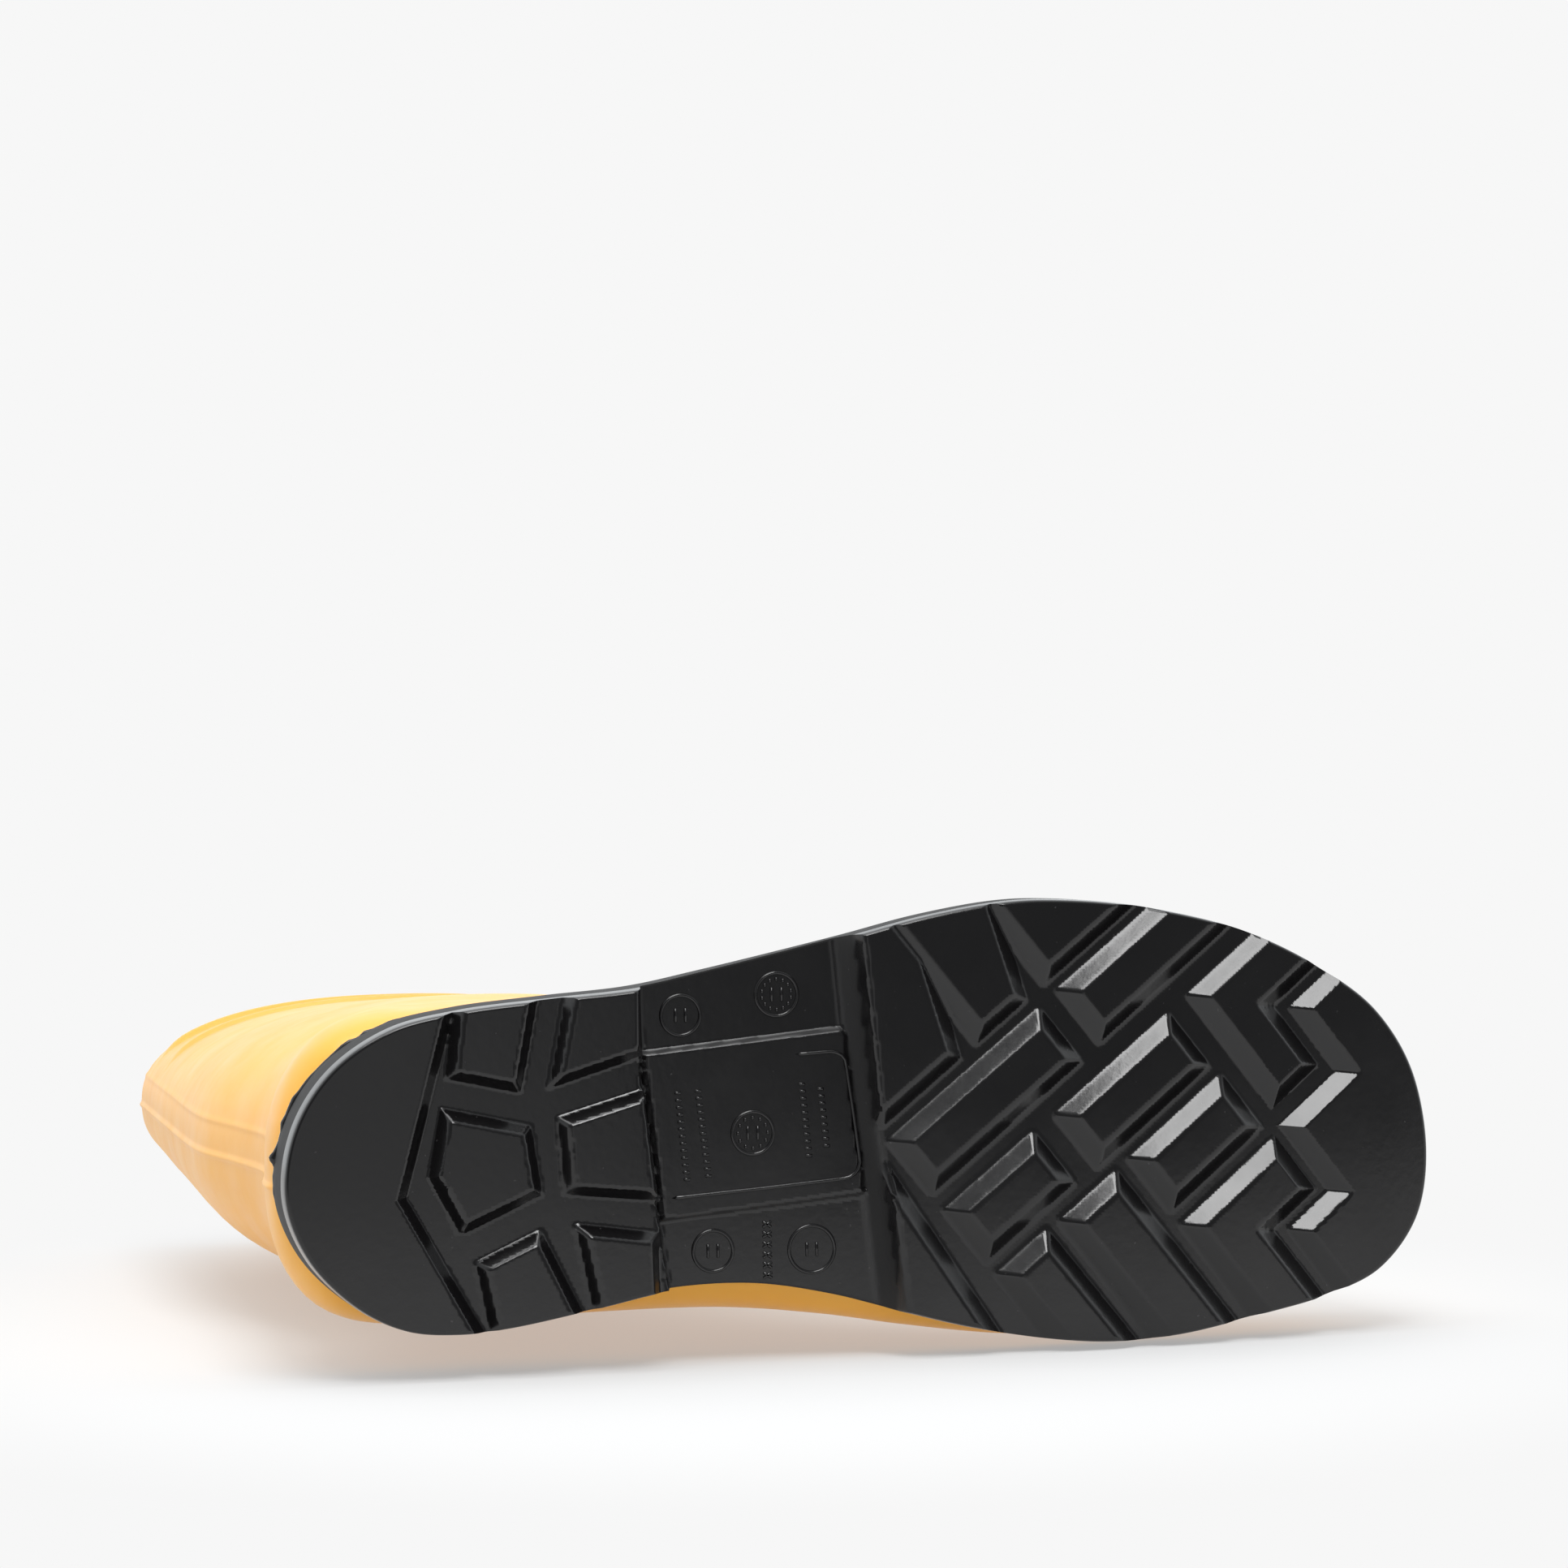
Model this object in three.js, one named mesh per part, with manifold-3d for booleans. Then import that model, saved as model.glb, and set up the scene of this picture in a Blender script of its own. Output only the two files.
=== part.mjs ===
// Firefighter's safety wellington, right foot: injection-moulded PVC with a steel toe cap.
// Millimetres, +Z up, toe towards -Y, inner (medial) side of the foot towards +X.
import * as THREE from 'three';
import { mergeVertices } from 'three/addons/utils/BufferGeometryUtils.js';
import Module from 'manifold-3d';

const wasm = await Module();
wasm.setup();

// ---- Driving dimensions -------------------------------------------------------------
const SOLE_LENGTH = 305;        // heel to toe, at the ground
const BALL_WIDTH = 113.7;       // across the ball of the sole
const BOOT_HEIGHT = 380;        // ground to the rim of the shaft
const RIM_DEPTH = 164;          // fore and aft across the rim
const RIM_WIDTH = 63;           // side to side across the rim
const UPPER_WALL = 3;           // PVC wall of the upper
const LINING_WALL = 1.2;        // knitted sock
const CAP_WALL = 1.8;           // steel toe cap
const CAP_LENGTH = 48;          // toe cap, measured back from the toe of the upper
const TRIM_WALL = 1.2;          // strip behind the toe cap
const TRIM_WIDTH = 8;
const PLATE_THICKNESS = 0.8;    // steel midsole
const BOARD_THICKNESS = 1.5;    // insole board
const FOOTBED_THICKNESS = 4;    // removable insock
const TREAD_DEPTH = 3.6;        // lug height
const LUG_BEVEL = 4.6;          // how far a forefoot lug's flank spreads over the tread depth
const BLOCK_BEVEL = 3;          // the same for a heel block
const TREAD_WEB = 6.9;          // rubber between the tread base and the upper, forefoot
const WAIST_RECESS = 9.5;       // height of the sole's waist above the ground
const HEEL_SEAT = 24;           // height of the upper's heel seat above the ground
const SOLE_WALL = 17;           // height of the black side wall at the forefoot
const HEEL_WALL = 27;           // height of the black side wall at the heel
const WALL_FLARE = 1.2;         // outward lean of the side wall over its height
const SOLE_LEDGE = 1.2;         // sole left showing outside the upper
const LUG_ROOT = 0.6;           // the sole's web laps this far over the root of each lug
const PLATE_EDGE = 1.5;         // plates and board stop this far inside the upper
const ROCKER_RADIUS = 527;      // the forefoot's ground line curls up on this radius
const ROCKER_START = 40;        // where that curl starts, ahead of the middle of the sole
const CORE_INSET = 11;          // heel core, in from the sole's outline
const CORE_FLOOR = 8.5;         // rubber under the heel core
const GAP = 0.3;                // clearance between touching pieces
const FOOTBED_CLEARANCE = 1;    // round the loose footbed
const FOOTBED_TOE = 13;         // the footbed ends this far short of the toe of the upper

// ---- The plan of the sole: [across, forward] at the nominal size ---------------------
const NOMINAL_LENGTH = 305;
const NOMINAL_WIDTH = 113.7;
const lengthScale = SOLE_LENGTH / NOMINAL_LENGTH;
const widthScale = BALL_WIDTH / NOMINAL_WIDTH;
const scaled = ([across, forward]) => [across * widthScale, forward * lengthScale];
const soleOutline = [
  [0, -152.5], [-17, -150], [-31, -141], [-41, -126], [-45.2, -108], [-47.6, -84], [-49.5, -62],
  [-53, -44], [-61, -8], [-66, 13], [-69.2, 34], [-69.4, 48], [-67.2, 70], [-60, 100], [-49, 123],
  [-38, 138], [-22, 148.5], [0, 152.5], [17, 149], [29.5, 138], [35.5, 123], [40, 101], [43.8, 78],
  [44.3, 56], [39.5, 25], [34, 4], [29.5, -12], [26, -32], [26.3, -54], [30, -74], [34, -97],
  [35, -110], [33.5, -123], [27, -135.5], [15, -147],
].map(scaled);

const toWorld = ([across, forward]) => new THREE.Vector2(across, -forward);

function outlineCurve() {
  const points = soleOutline.map(([x, f]) => new THREE.Vector3(x, -f, 0));
  return new THREE.CatmullRomCurve3(points, true, 'centripetal');
}
const outlinePoints = outlineCurve().getSpacedPoints(96).slice(0, -1);

// Lowest and highest x of the outline at a place along the foot.
function solePlan(forward) {
  const y = -forward;
  const hits = [];
  outlinePoints.forEach((a, i) => {
    const b = outlinePoints[(i + 1) % outlinePoints.length];
    if ((a.y - y) * (b.y - y) > 0 || a.y === b.y) return;
    hits.push(a.x + ((y - a.y) / (b.y - a.y)) * (b.x - a.x));
  });
  return [Math.min(...hits), Math.max(...hits)];
}

// ---- Side profile of the sole ---------------------------------------------------------
const toeF = SOLE_LENGTH / 2;
const SOLE_TOP = 40;                                   // above every part of the sole
const BEYOND = 5;                                      // cutting bodies run this far past a face
const ROOM = 2 * SOLE_LENGTH;                          // wider than the whole boot
const WELD = 1e-4;                                     // corners nearer than this are one
const along = (share) => share * lengthScale;          // a nominal place along the foot
const BREAST = along(-58);                             // front of the heel
const WAIST_SLOPE = 7;                                 // length of the slope up into the waist
const TREAD_REAR = along(-1);                          // rear of the forefoot tread

const pastCurl = (f) => Math.max(f - ROCKER_START, 0);
const rocker = (f) => pastCurl(f) ** 2 / (2 * ROCKER_RADIUS);
const rockerSlope = (f) => pastCurl(f) / ROCKER_RADIUS;

function ease(value, from, to) {
  const t = THREE.MathUtils.clamp((value - from) / (to - from), 0, 1);
  return t * t * (3 - 2 * t);
}

// Height of the underside of the upper.
function seat(f) {
  const forefoot = rocker(f) + TREAD_DEPTH + TREAD_WEB;
  return THREE.MathUtils.lerp(HEEL_SEAT, forefoot, ease(f, along(-105), along(35)));
}

// Height of the top edge of the black side wall.
function wallTop(f) {
  return THREE.MathUtils.lerp(HEEL_WALL, rocker(f) + SOLE_WALL, ease(f, along(-90), along(20)));
}

// ---- Solid helpers ----------------------------------------------------------------------
function toSolid(geometry) {
  const welded = geometry.userData.welded;
  const bare = welded ? geometry : geometry.clone();
  bare.deleteAttribute('normal');
  bare.deleteAttribute('uv');
  const merged = welded ? bare : mergeVertices(bare, WELD);
  const vertProperties = new Float32Array(merged.attributes.position.array);
  const triVerts = new Uint32Array(merged.index.array);
  return new wasm.Manifold(new wasm.Mesh({ numProp: 3, vertProperties, triVerts }));
}

function toGeometry(solid) {
  const mesh = solid.getMesh();
  const geometry = new THREE.BufferGeometry();
  const stride = mesh.numProp;
  const count = mesh.vertProperties.length / stride;
  const position = new Float32Array(count * 3);
  for (let i = 0; i < count; i++) {
    for (let k = 0; k < 3; k++) position[3 * i + k] = mesh.vertProperties[stride * i + k];
  }
  geometry.setAttribute('position', new THREE.BufferAttribute(position, 3));
  geometry.setIndex(new THREE.BufferAttribute(new Uint32Array(mesh.triVerts), 1));
  geometry.computeVertexNormals();
  return geometry;
}

// A prism over the sole's outline, its wall leaning out by flare towards the top.
function outlinePrism(inset, low, high, flare = 0) {
  const shape = new THREE.Shape(outlinePoints.map((p) => new THREE.Vector2(p.x, p.y)));
  const options = { depth: BEYOND, bevelEnabled: true, bevelSegments: 1, curveSegments: 1 };
  options.bevelThickness = high - low;
  options.bevelSize = Math.max(flare, WELD);
  options.bevelOffset = -inset;
  const geometry = new THREE.ExtrudeGeometry(shape, options);
  geometry.translate(0, 0, high);
  const cut = new THREE.BoxGeometry(ROOM, ROOM, high - low);
  cut.translate(0, 0, (low + high) / 2);
  return toSolid(geometry).intersect(toSolid(cut));
}

// A layer right across the boot between two height curves, over a length of the foot.
function layer(fromF, toF, lower, upper, steps = 24) {
  const shape = new THREE.Shape();
  const at = (i) => fromF + ((toF - fromF) * i) / steps;
  shape.moveTo(-at(0), lower(at(0)));
  for (let i = 1; i <= steps; i++) shape.lineTo(-at(i), lower(at(i)));
  for (let i = steps; i >= 0; i--) shape.lineTo(-at(i), upper(at(i)));
  const width = 2 * BALL_WIDTH;
  const geometry = new THREE.ExtrudeGeometry(shape, { depth: width, bevelEnabled: false });
  // The shape's plane (y, z) is stood up so that the extrusion runs along x.
  geometry.applyMatrix4(new THREE.Matrix4().set(0, 0, 1, -width / 2, 1, 0, 0, 0, 0, 1, 0, 0, 0, 0, 0, 1));
  return toSolid(geometry);
}

// ---- The shape of the leg and foot ---------------------------------------------------------
// Each station is a closed section from a point on the underside or back to one on the top or
// front. low is how far from the back point the section is widest; n1 and n2 are how square its
// back and front parts are.
const rimBack = 147.3;
const rimFront = RIM_DEPTH - rimBack;
const RIM_OUTWARD = 0.5;            // the rim stands this far to the outer side
const rimOuter = RIM_WIDTH / 2 + RIM_OUTWARD;
// A height on the leg, given for a nominal boot, moved with the real seat and rim.
const NOMINAL_SEAT = 24;
const NOMINAL_HEIGHT = 380;
const legShare = (height) => (height - NOMINAL_SEAT) / (NOMINAL_HEIGHT - NOMINAL_SEAT);
const up = (height) => HEEL_SEAT + (BOOT_HEIGHT - HEEL_SEAT) * legShare(height);

function footStation(forward, top, low, n1, n2, bulge = [0, 0]) {
  const f = along(forward);
  const [outer, inner] = solePlan(f);
  return {
    back: [f, seat(f)], front: [f, top], low, n1, n2,
    outer: outer + SOLE_LEDGE - bulge[0], inner: inner - SOLE_LEDGE + bulge[1],
  };
}

function legStation(back, front, outer, inner, low, n1, n2) {
  return {
    back: [along(back[0]), back[1]], front: [along(front[0]), front[1]], low, n1, n2,
    outer: outer * widthScale, inner: inner * widthScale,
  };
}

const stations = [
  footStation(150.5, 41, 12, 6, 2.6),
  footStation(147.5, 49, 14, 6, 2.5),
  footStation(141, 56, 15, 6, 2.4),
  footStation(128, 62.5, 16, 7, 2.3),
  footStation(108, 66.5, 17, 7, 2.2),
  footStation(84, 71, 17, 7, 2.1),
  footStation(60, 80, 18, 6.5, 2.1),
  footStation(38, 94, 20, 5.5, 2.1, [0, 3]),
  legStation([12, seat(along(12))], [20, 112], -63.5, 41, 24, 4.6, 2.2),
  legStation([-14, seat(along(-14))], [14, 131], -58, 37.5, 28, 4.2, 2.3),
  legStation([-42, seat(along(-42))], [11, 149], -52.5, 35.5, 34, 4, 2.3),
  legStation([-74, seat(along(-74))], [9.5, 164], -48, 35.5, 42, 5.2, 2.3),
  legStation([-106, seat(along(-106))], [9, 176], -45.5, 36.5, 48, 5.8, 2.3),
  legStation([-134, HEEL_SEAT + 0.5], [8.5, 185], -44.5, 37, 52, 4.4, 2.3),
  legStation([-147.5, HEEL_SEAT + 8], [8.5, 192], -44, 37.5, 58, 3.2, 2.3),
  legStation([-151, HEEL_SEAT + 25], [8.5, 199], -43.5, 38.5, 64, 2.6, 2.4),
  legStation([-145.5, up(92)], [9, 207], -43.2, 39, 68, 2.4, 2.4),
  legStation([-148.5, up(132)], [9.5, up(222)], -42, 39.2, 74, 2.4, 2.4),
  legStation([-153, up(178)], [10.5, up(246)], -40.2, 38.4, 79, 2.4, 2.4),
  legStation([-150.5, up(280)], [13, up(308)], -35.8, 34.8, 81, 2.4, 2.4),
];
stations.push({
  back: [-along(rimBack), BOOT_HEIGHT], front: [along(rimFront), BOOT_HEIGHT],
  low: (along(rimBack) + along(rimFront)) / 2, n1: 2.4, n2: 2.4,
  outer: -rimOuter * widthScale, inner: (RIM_WIDTH - rimOuter) * widthScale,
});

const UPPER_TOE = along(150.5);
const CAP_REAR = UPPER_TOE - CAP_LENGTH;
const RING_SIDES = 24;
const RINGS_PER_STATION = 2;

function catmull(a, b, c, d, t) {
  return 0.5 * (2 * b + (c - a) * t + (2 * a - 5 * b + 4 * c - d) * t * t
    + (3 * b - a - 3 * c + d) * t * t * t);
}

// A station in between, by a smooth curve through the values of its neighbours.
function stationAt(u) {
  const last = stations.length - 1;
  const i = Math.min(Math.floor(u), last - 1);
  const near = [i - 1, i, i + 1, i + 2].map((k) => stations[THREE.MathUtils.clamp(k, 0, last)]);
  const mix = (read) => catmull(...near.map(read), u - i);
  return {
    back: [mix((s) => s.back[0]), mix((s) => s.back[1])],
    front: [mix((s) => s.front[0]), mix((s) => s.front[1])],
    low: mix((s) => s.low), n1: mix((s) => s.n1), n2: mix((s) => s.n2),
    outer: mix((s) => s.outer), inner: mix((s) => s.inner),
  };
}

const DOME_START = along(108);      // ahead of this the toe closes in
const DOME_RAMP = 30;               // length over which the sections begin to move back
const LEAST_SQUARE = 0.6;           // limit for sections that slant to the wall
const domeHalfWidth = (solePlan(DOME_START)[1] - solePlan(DOME_START)[0]) / 2 - SOLE_LEDGE;

// How square a section stands to the wall at its back or front end: 1 is at right angles.
function squareness(u, end, axis) {
  const step = 0.25;
  const last = stations.length - 1;
  const before = stationAt(Math.max(u - step, 0))[end];
  const after = stationAt(Math.min(u + step, last))[end];
  const tangent = new THREE.Vector2(after[0] - before[0], after[1] - before[1]).normalize();
  return Math.max(Math.abs(tangent.cross(axis)), LEAST_SQUARE);
}

// One closed section, shrunk inwards by an inset that may differ below, above and beside.
function ring(u, inset) {
  const s = stationAt(u);
  const { side, bottom, top } = inset(s);
  const back = new THREE.Vector2(...s.back);
  const front = new THREE.Vector2(...s.front);
  const axis = front.clone().sub(back);
  const length = axis.length();
  axis.normalize();
  // Ahead of the dome's start, the sections also move back, so that the toe keeps its wall.
  const towardsToe = ease(s.back[0], DOME_START - DOME_RAMP, UPPER_TOE);
  const shiftBack = side * towardsToe;
  // The insets are measured square to the wall, so they are longer along a slanting section.
  const lower = bottom / squareness(u, 'back', axis);
  const upper = length - top / squareness(u, 'front', axis);
  const middle = (s.outer + s.inner) / 2;
  let half = (s.inner - s.outer) / 2;
  half *= half < domeHalfWidth && s.back[0] > DOME_START ? (domeHalfWidth - side) / domeHalfWidth : 1;
  half -= s.back[0] > DOME_START && half < domeHalfWidth ? 0 : side;
  const points = [];
  for (let k = 0; k < RING_SIDES; k++) {
    const angle = (2 * Math.PI * k) / RING_SIDES;
    const c = -Math.cos(angle);
    const sn = Math.sin(angle);
    const n = c < 0 ? s.n1 : s.n2;
    const reach = Math.sign(c) * Math.abs(c) ** (2 / n);
    const at = s.low + reach * (c < 0 ? s.low - lower : upper - s.low);
    const across = middle - Math.sign(sn) * half * Math.abs(sn) ** (2 / n);
    const place = back.clone().addScaledVector(axis, at);
    points.push(new THREE.Vector3(across, -(place.x - shiftBack), place.y));
  }
  return points;
}

// A closed solid through the sections, with flat ends; rise lifts its last section.
function legSolid(inset, rise = 0) {
  const last = stations.length - 1;
  const count = last * RINGS_PER_STATION + 1;
  const rings = [];
  for (let i = 0; i < count; i++) rings.push(ring(i / RINGS_PER_STATION, inset));
  if (rise) rings.push(rings[count - 1].map((p) => p.clone().setZ(p.z + rise)));
  const positions = [];
  rings.flat().forEach((p) => positions.push(p.x, p.y, p.z));
  const index = [];
  for (let i = 0; i < rings.length - 1; i++) {
    for (let k = 0; k < RING_SIDES; k++) {
      const next = (k + 1) % RING_SIDES;
      const a = i * RING_SIDES + k;
      const b = i * RING_SIDES + next;
      const c = a + RING_SIDES;
      const d = b + RING_SIDES;
      index.push(a, b, c, b, d, c);
    }
  }
  const ends = [[0, false], [rings.length - 1, true]];
  for (const [i, flip] of ends) {
    const middle = rings[i].reduce((sum, p) => sum.add(p), new THREE.Vector3());
    middle.divideScalar(RING_SIDES);
    const hub = positions.length / 3;
    positions.push(middle.x, middle.y, middle.z);
    for (let k = 0; k < RING_SIDES; k++) {
      const a = i * RING_SIDES + k;
      const b = i * RING_SIDES + ((k + 1) % RING_SIDES);
      if (flip) index.push(a, b, hub);
      else index.push(b, a, hub);
    }
  }
  const geometry = new THREE.BufferGeometry();
  geometry.setAttribute('position', new THREE.Float32BufferAttribute(positions, 3));
  geometry.setIndex(index);
  geometry.userData.welded = true;
  return toSolid(geometry);
}

const even = (amount) => () => ({ side: amount, bottom: amount, top: amount });

// Room that the sock leaves outside itself for the cap in the toe and the plates underfoot.
const CAP_STEP = [22, 4];           // it steps in for the cap between these, behind the strip
const PLATE_STEP = [12, 50];        // and out again over the plates between these, up the heel
function liningInset(extra) {
  const plates = PLATE_THICKNESS + BOARD_THICKNESS + 2 * GAP;
  const capRoom = CAP_WALL + 2 * GAP;
  const [stepRear, stepFront] = CAP_STEP.map((distance) => CAP_REAR - TRIM_WIDTH - distance);
  return (s) => {
    const toe = ease(s.front[0], stepRear, stepFront);
    const heel = 1 - ease(s.back[1], HEEL_SEAT + PLATE_STEP[0], HEEL_SEAT + PLATE_STEP[1]);
    const room = UPPER_WALL + GAP + extra;
    return { side: room + toe * capRoom, top: room + toe * capRoom, bottom: room + heel * plates };
  };
}

// ---- Pieces ------------------------------------------------------------------------------
function makeUpper() {
  return legSolid(even(0)).subtract(legSolid(even(UPPER_WALL), BEYOND));
}

const liningOuter = legSolid(liningInset(0));
const liningInner = legSolid(liningInset(LINING_WALL), BEYOND);

function makeLining() {
  const flush = new THREE.BoxGeometry(ROOM, ROOM, BOOT_HEIGHT);
  flush.translate(0, 0, BOOT_HEIGHT / 2 - GAP);
  return liningOuter.subtract(liningInner).intersect(toSolid(flush));
}

// Heights of the plates inside the upper, from the underside of the upper.
const plateLow = UPPER_WALL + GAP;
const plateHigh = plateLow + PLATE_THICKNESS;
const boardLow = plateHigh + GAP;
const boardHigh = boardLow + BOARD_THICKNESS;
const footbedLow = boardHigh + 4 * GAP + LINING_WALL;
const footbedHigh = footbedLow + FOOTBED_THICKNESS;

const over = (height) => (f) => seat(f) + height;
const PLATE_REAR = along(-139);
const PLATE_FRONT = along(144);
const FOOTBED_REAR = along(-150);
const plateSides = UPPER_WALL + PLATE_EDGE;
const plateRoom = legSolid(() => ({ side: plateSides, bottom: UPPER_WALL + GAP / 2, top: plateSides }));

function makeMidsole() {
  const slab = layer(PLATE_REAR, PLATE_FRONT, over(plateLow), over(plateHigh));
  return slab.intersect(plateRoom);
}

function makeBoard() {
  const slab = layer(PLATE_REAR, PLATE_FRONT, over(boardLow), over(boardHigh));
  return slab.intersect(plateRoom);
}

function shellBetween(outerInset, innerInset, fromF, toF) {
  const shell = legSolid(even(outerInset)).subtract(legSolid(even(innerInset)));
  const box = new THREE.BoxGeometry(ROOM, toF - fromF, BOOT_HEIGHT);
  box.translate(0, -(fromF + toF) / 2, BOOT_HEIGHT / 2);
  const floor = layer(fromF - BEYOND, toF + BEYOND, () => -BEYOND, over(boardHigh + GAP));
  const room = legSolid(even(UPPER_WALL)).intersect(legSolid(even(UPPER_WALL + GAP / 2)));
  return shell.intersect(toSolid(box)).intersect(room).subtract(floor);
}

function makeToeCap() {
  const outer = UPPER_WALL + GAP;
  return shellBetween(outer, outer + CAP_WALL, CAP_REAR, UPPER_TOE);
}

function makeTrim() {
  const outer = UPPER_WALL + GAP;
  return shellBetween(outer, outer + TRIM_WALL, CAP_REAR - GAP - TRIM_WIDTH, CAP_REAR - GAP);
}

function makeFootbed() {
  const slab = layer(FOOTBED_REAR, UPPER_TOE - FOOTBED_TOE, over(footbedLow), over(footbedHigh));
  return slab.intersect(legSolid(liningInset(LINING_WALL + FOOTBED_CLEARANCE)));
}

// ---- Outsole ---------------------------------------------------------------------------------
// Forefoot lugs lie on a square grid turned against the foot. a runs forward and outward,
// b forward and inward.
const GRID_TURN = Math.atan2(0.625, 0.78);
const gridPoint = ([a, b]) => {
  const across = -Math.sin(GRID_TURN) * a + Math.cos(GRID_TURN) * b;
  const forward = Math.cos(GRID_TURN) * a + Math.sin(GRID_TURN) * b;
  return [across * widthScale, forward * lengthScale];
};
const LUG_CORE = 2;     // depth of a lug's straight part, set into the sole
const EDGE = 140;       // past the sole's edge, where the outline trims the lug
const bar = (a1, a2, b1, b2) => [[a1, b1], [a2, b1], [a2, b2], [a1, b2]];
const forefootLugs = [
  [[42, -8], [33, -13.5], [11, -13.5], [34.8, -50.3], [42, -61]],
  [[45, -EDGE], [64.7, -EDGE], [64.7, -7.6], [56, -13.5], [45, -13.5]],
  bar(68.5, EDGE, -EDGE, -13.5),
  bar(70.4, EDGE, -2, 7.8),
  bar(11.5, 56, -1.6, 8.3),
  bar(11.5, 34.4, 21.8, 31),
  bar(49.5, 82, 22.3, 32.2),
  [[97, 22.3], [EDGE, 22.3], [EDGE, 32], [105.5, 32], [105.5, 52.5], [97, 52.5]],
  bar(11.5, 21, 43.5, EDGE),
  bar(33, 45, 44.2, EDGE),
  bar(57.6, 83, 44.2, 54.3),
  [[57.6, 67], [84, 67], [84, 77], [68, 77], [68, EDGE], [57.6, EDGE]],
  [[EDGE, 44], [117.4, 44], [117.4, 66], [95.6, 66], [95.6, 88.5], [80, 88.5], [80, EDGE], [EDGE, EDGE]],
].map((lug) => lug.map(gridPoint));

const medialWedge = [[6.1, 3.2], [60, 8.1], [60, 38.7]];
const heelBlocks = [
  [[-60, -108.5], [1.1, -125.1], [50, -98], [50, -170], [-60, -170]],
  [[-60, -105], [-30.8, -108.7], [-27.7, -94.8], [-60, -88.5]],
  [[-60, -76], [-29.2, -82.2], [-34.9, -63.4], [-60, -63]],
  [[-18, -110.9], [-13.9, -92.7], [-0.4, -90.7], [7, -107.4], [-4.7, -113.6]],
  [[-15.9, -80.7], [-21.2, -62.2], [0.8, -60], [-1.2, -79.5]],
  [[19.2, -101.9], [13.6, -89.5], [50, -72], [50, -95.7]],
  [[12.1, -76.2], [14.3, -60.7], [50, -60], [50, -68.4]],
];

// A lug is its tread face, spreading by its bevel up to the tread base, and set into the sole.
function lugSolid(corners, bevel, lift, slope, pivotF) {
  const shape = new THREE.Shape(corners.map(toWorld));
  const geometry = new THREE.ExtrudeGeometry(shape, {
    depth: LUG_CORE, bevelEnabled: true, bevelSegments: 1, bevelThickness: TREAD_DEPTH, bevelSize: bevel,
  });
  geometry.translate(0, pivotF, TREAD_DEPTH);
  geometry.rotateX(-slope);
  geometry.translate(0, -pivotF, lift);
  return toSolid(geometry);
}

function middleForward(corners) {
  const inside = corners.map(([, f]) => THREE.MathUtils.clamp(f, -toeF, toeF));
  return (Math.min(...inside) + Math.max(...inside)) / 2;
}

function makeOutsole() {
  const prism = outlinePrism(0, 0, SOLE_TOP, (WALL_FLARE * SOLE_TOP) / HEEL_WALL);
  const treadBase = (f) => {
    const forefoot = rocker(f) + TREAD_DEPTH;
    const waist = WAIST_RECESS;
    if (f < BREAST) return TREAD_DEPTH;
    return THREE.MathUtils.lerp(waist, forefoot, ease(f, TREAD_REAR - WAIST_SLOPE, TREAD_REAR));
  };
  const heelSlab = layer(-toeF - BEYOND, BREAST, () => TREAD_DEPTH - LUG_ROOT, wallTop, 8);
  const frontBase = (f) => treadBase(Math.max(f, BREAST + GAP)) - LUG_ROOT;
  const frontSlab = layer(BREAST - 1, toeF + BEYOND, frontBase, wallTop, 40);
  let tread = heelSlab.add(frontSlab);
  for (const corners of [...forefootLugs, medialWedge.map(scaled)]) {
    const f = middleForward(corners);
    tread = tread.add(lugSolid(corners, LUG_BEVEL, rocker(f), rockerSlope(f), f));
  }
  for (const corners of heelBlocks.map((block) => block.map(scaled))) {
    tread = tread.add(lugSolid(corners, BLOCK_BEVEL, 0, 0, 0));
  }
  const cup = legSolid(even(-GAP));
  return tread.intersect(prism).subtract(cup).subtract(corePocket(0));
}

function corePocket(shrink) {
  const plan = outlinePrism(CORE_INSET + shrink, CORE_FLOOR + shrink, HEEL_SEAT + 2 * BEYOND);
  const ahead = new THREE.BoxGeometry(ROOM, ROOM, ROOM);
  ahead.translate(0, -(BREAST - CORE_INSET - shrink) - ROOM / 2, 0);
  return plan.subtract(toSolid(ahead));
}

function makeHeelCore() {
  return corePocket(GAP).subtract(legSolid(even(-GAP)));
}

// ---- Materials ---------------------------------------------------------------------------------
const finish = (color, roughness, metalness = 0) =>
  new THREE.MeshStandardMaterial({ color, roughness, metalness });
const yellowPvc = finish(0xf2bf38, 0.35);
const blackPvc = finish(0x1c1b1c, 0.28);
const knit = finish(0xd8d4c8, 0.95);
const steel = finish(0x9a9ea3, 0.4, 1);
const board = finish(0x8d7f6b, 0.9);
const foam = finish(0x5a5d61, 0.9);

const boot = new THREE.Group();
function place(name, solid, material) {
  const mesh = new THREE.Mesh(toGeometry(solid), material);
  mesh.name = name;
  boot.add(mesh);
}

place('outsole', makeOutsole(), blackPvc);
place('heel_core', makeHeelCore(), foam);
place('upper', makeUpper(), yellowPvc);
place('steel_midsole', makeMidsole(), steel);
place('insole_board', makeBoard(), board);
place('toe_cap', makeToeCap(), steel);
place('toe_cap_edge_trim', makeTrim(), foam);
place('lining_sock', makeLining(), knit);
place('footbed', makeFootbed(), foam);

// The origin stands on the ground under the middle of the boot's box.
boot.updateMatrixWorld(true);
const box = new THREE.Box3().setFromObject(boot);
boot.position.set(-(box.min.x + box.max.x) / 2, -(box.min.y + box.max.y) / 2, -box.min.z);

export default boot;
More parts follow.
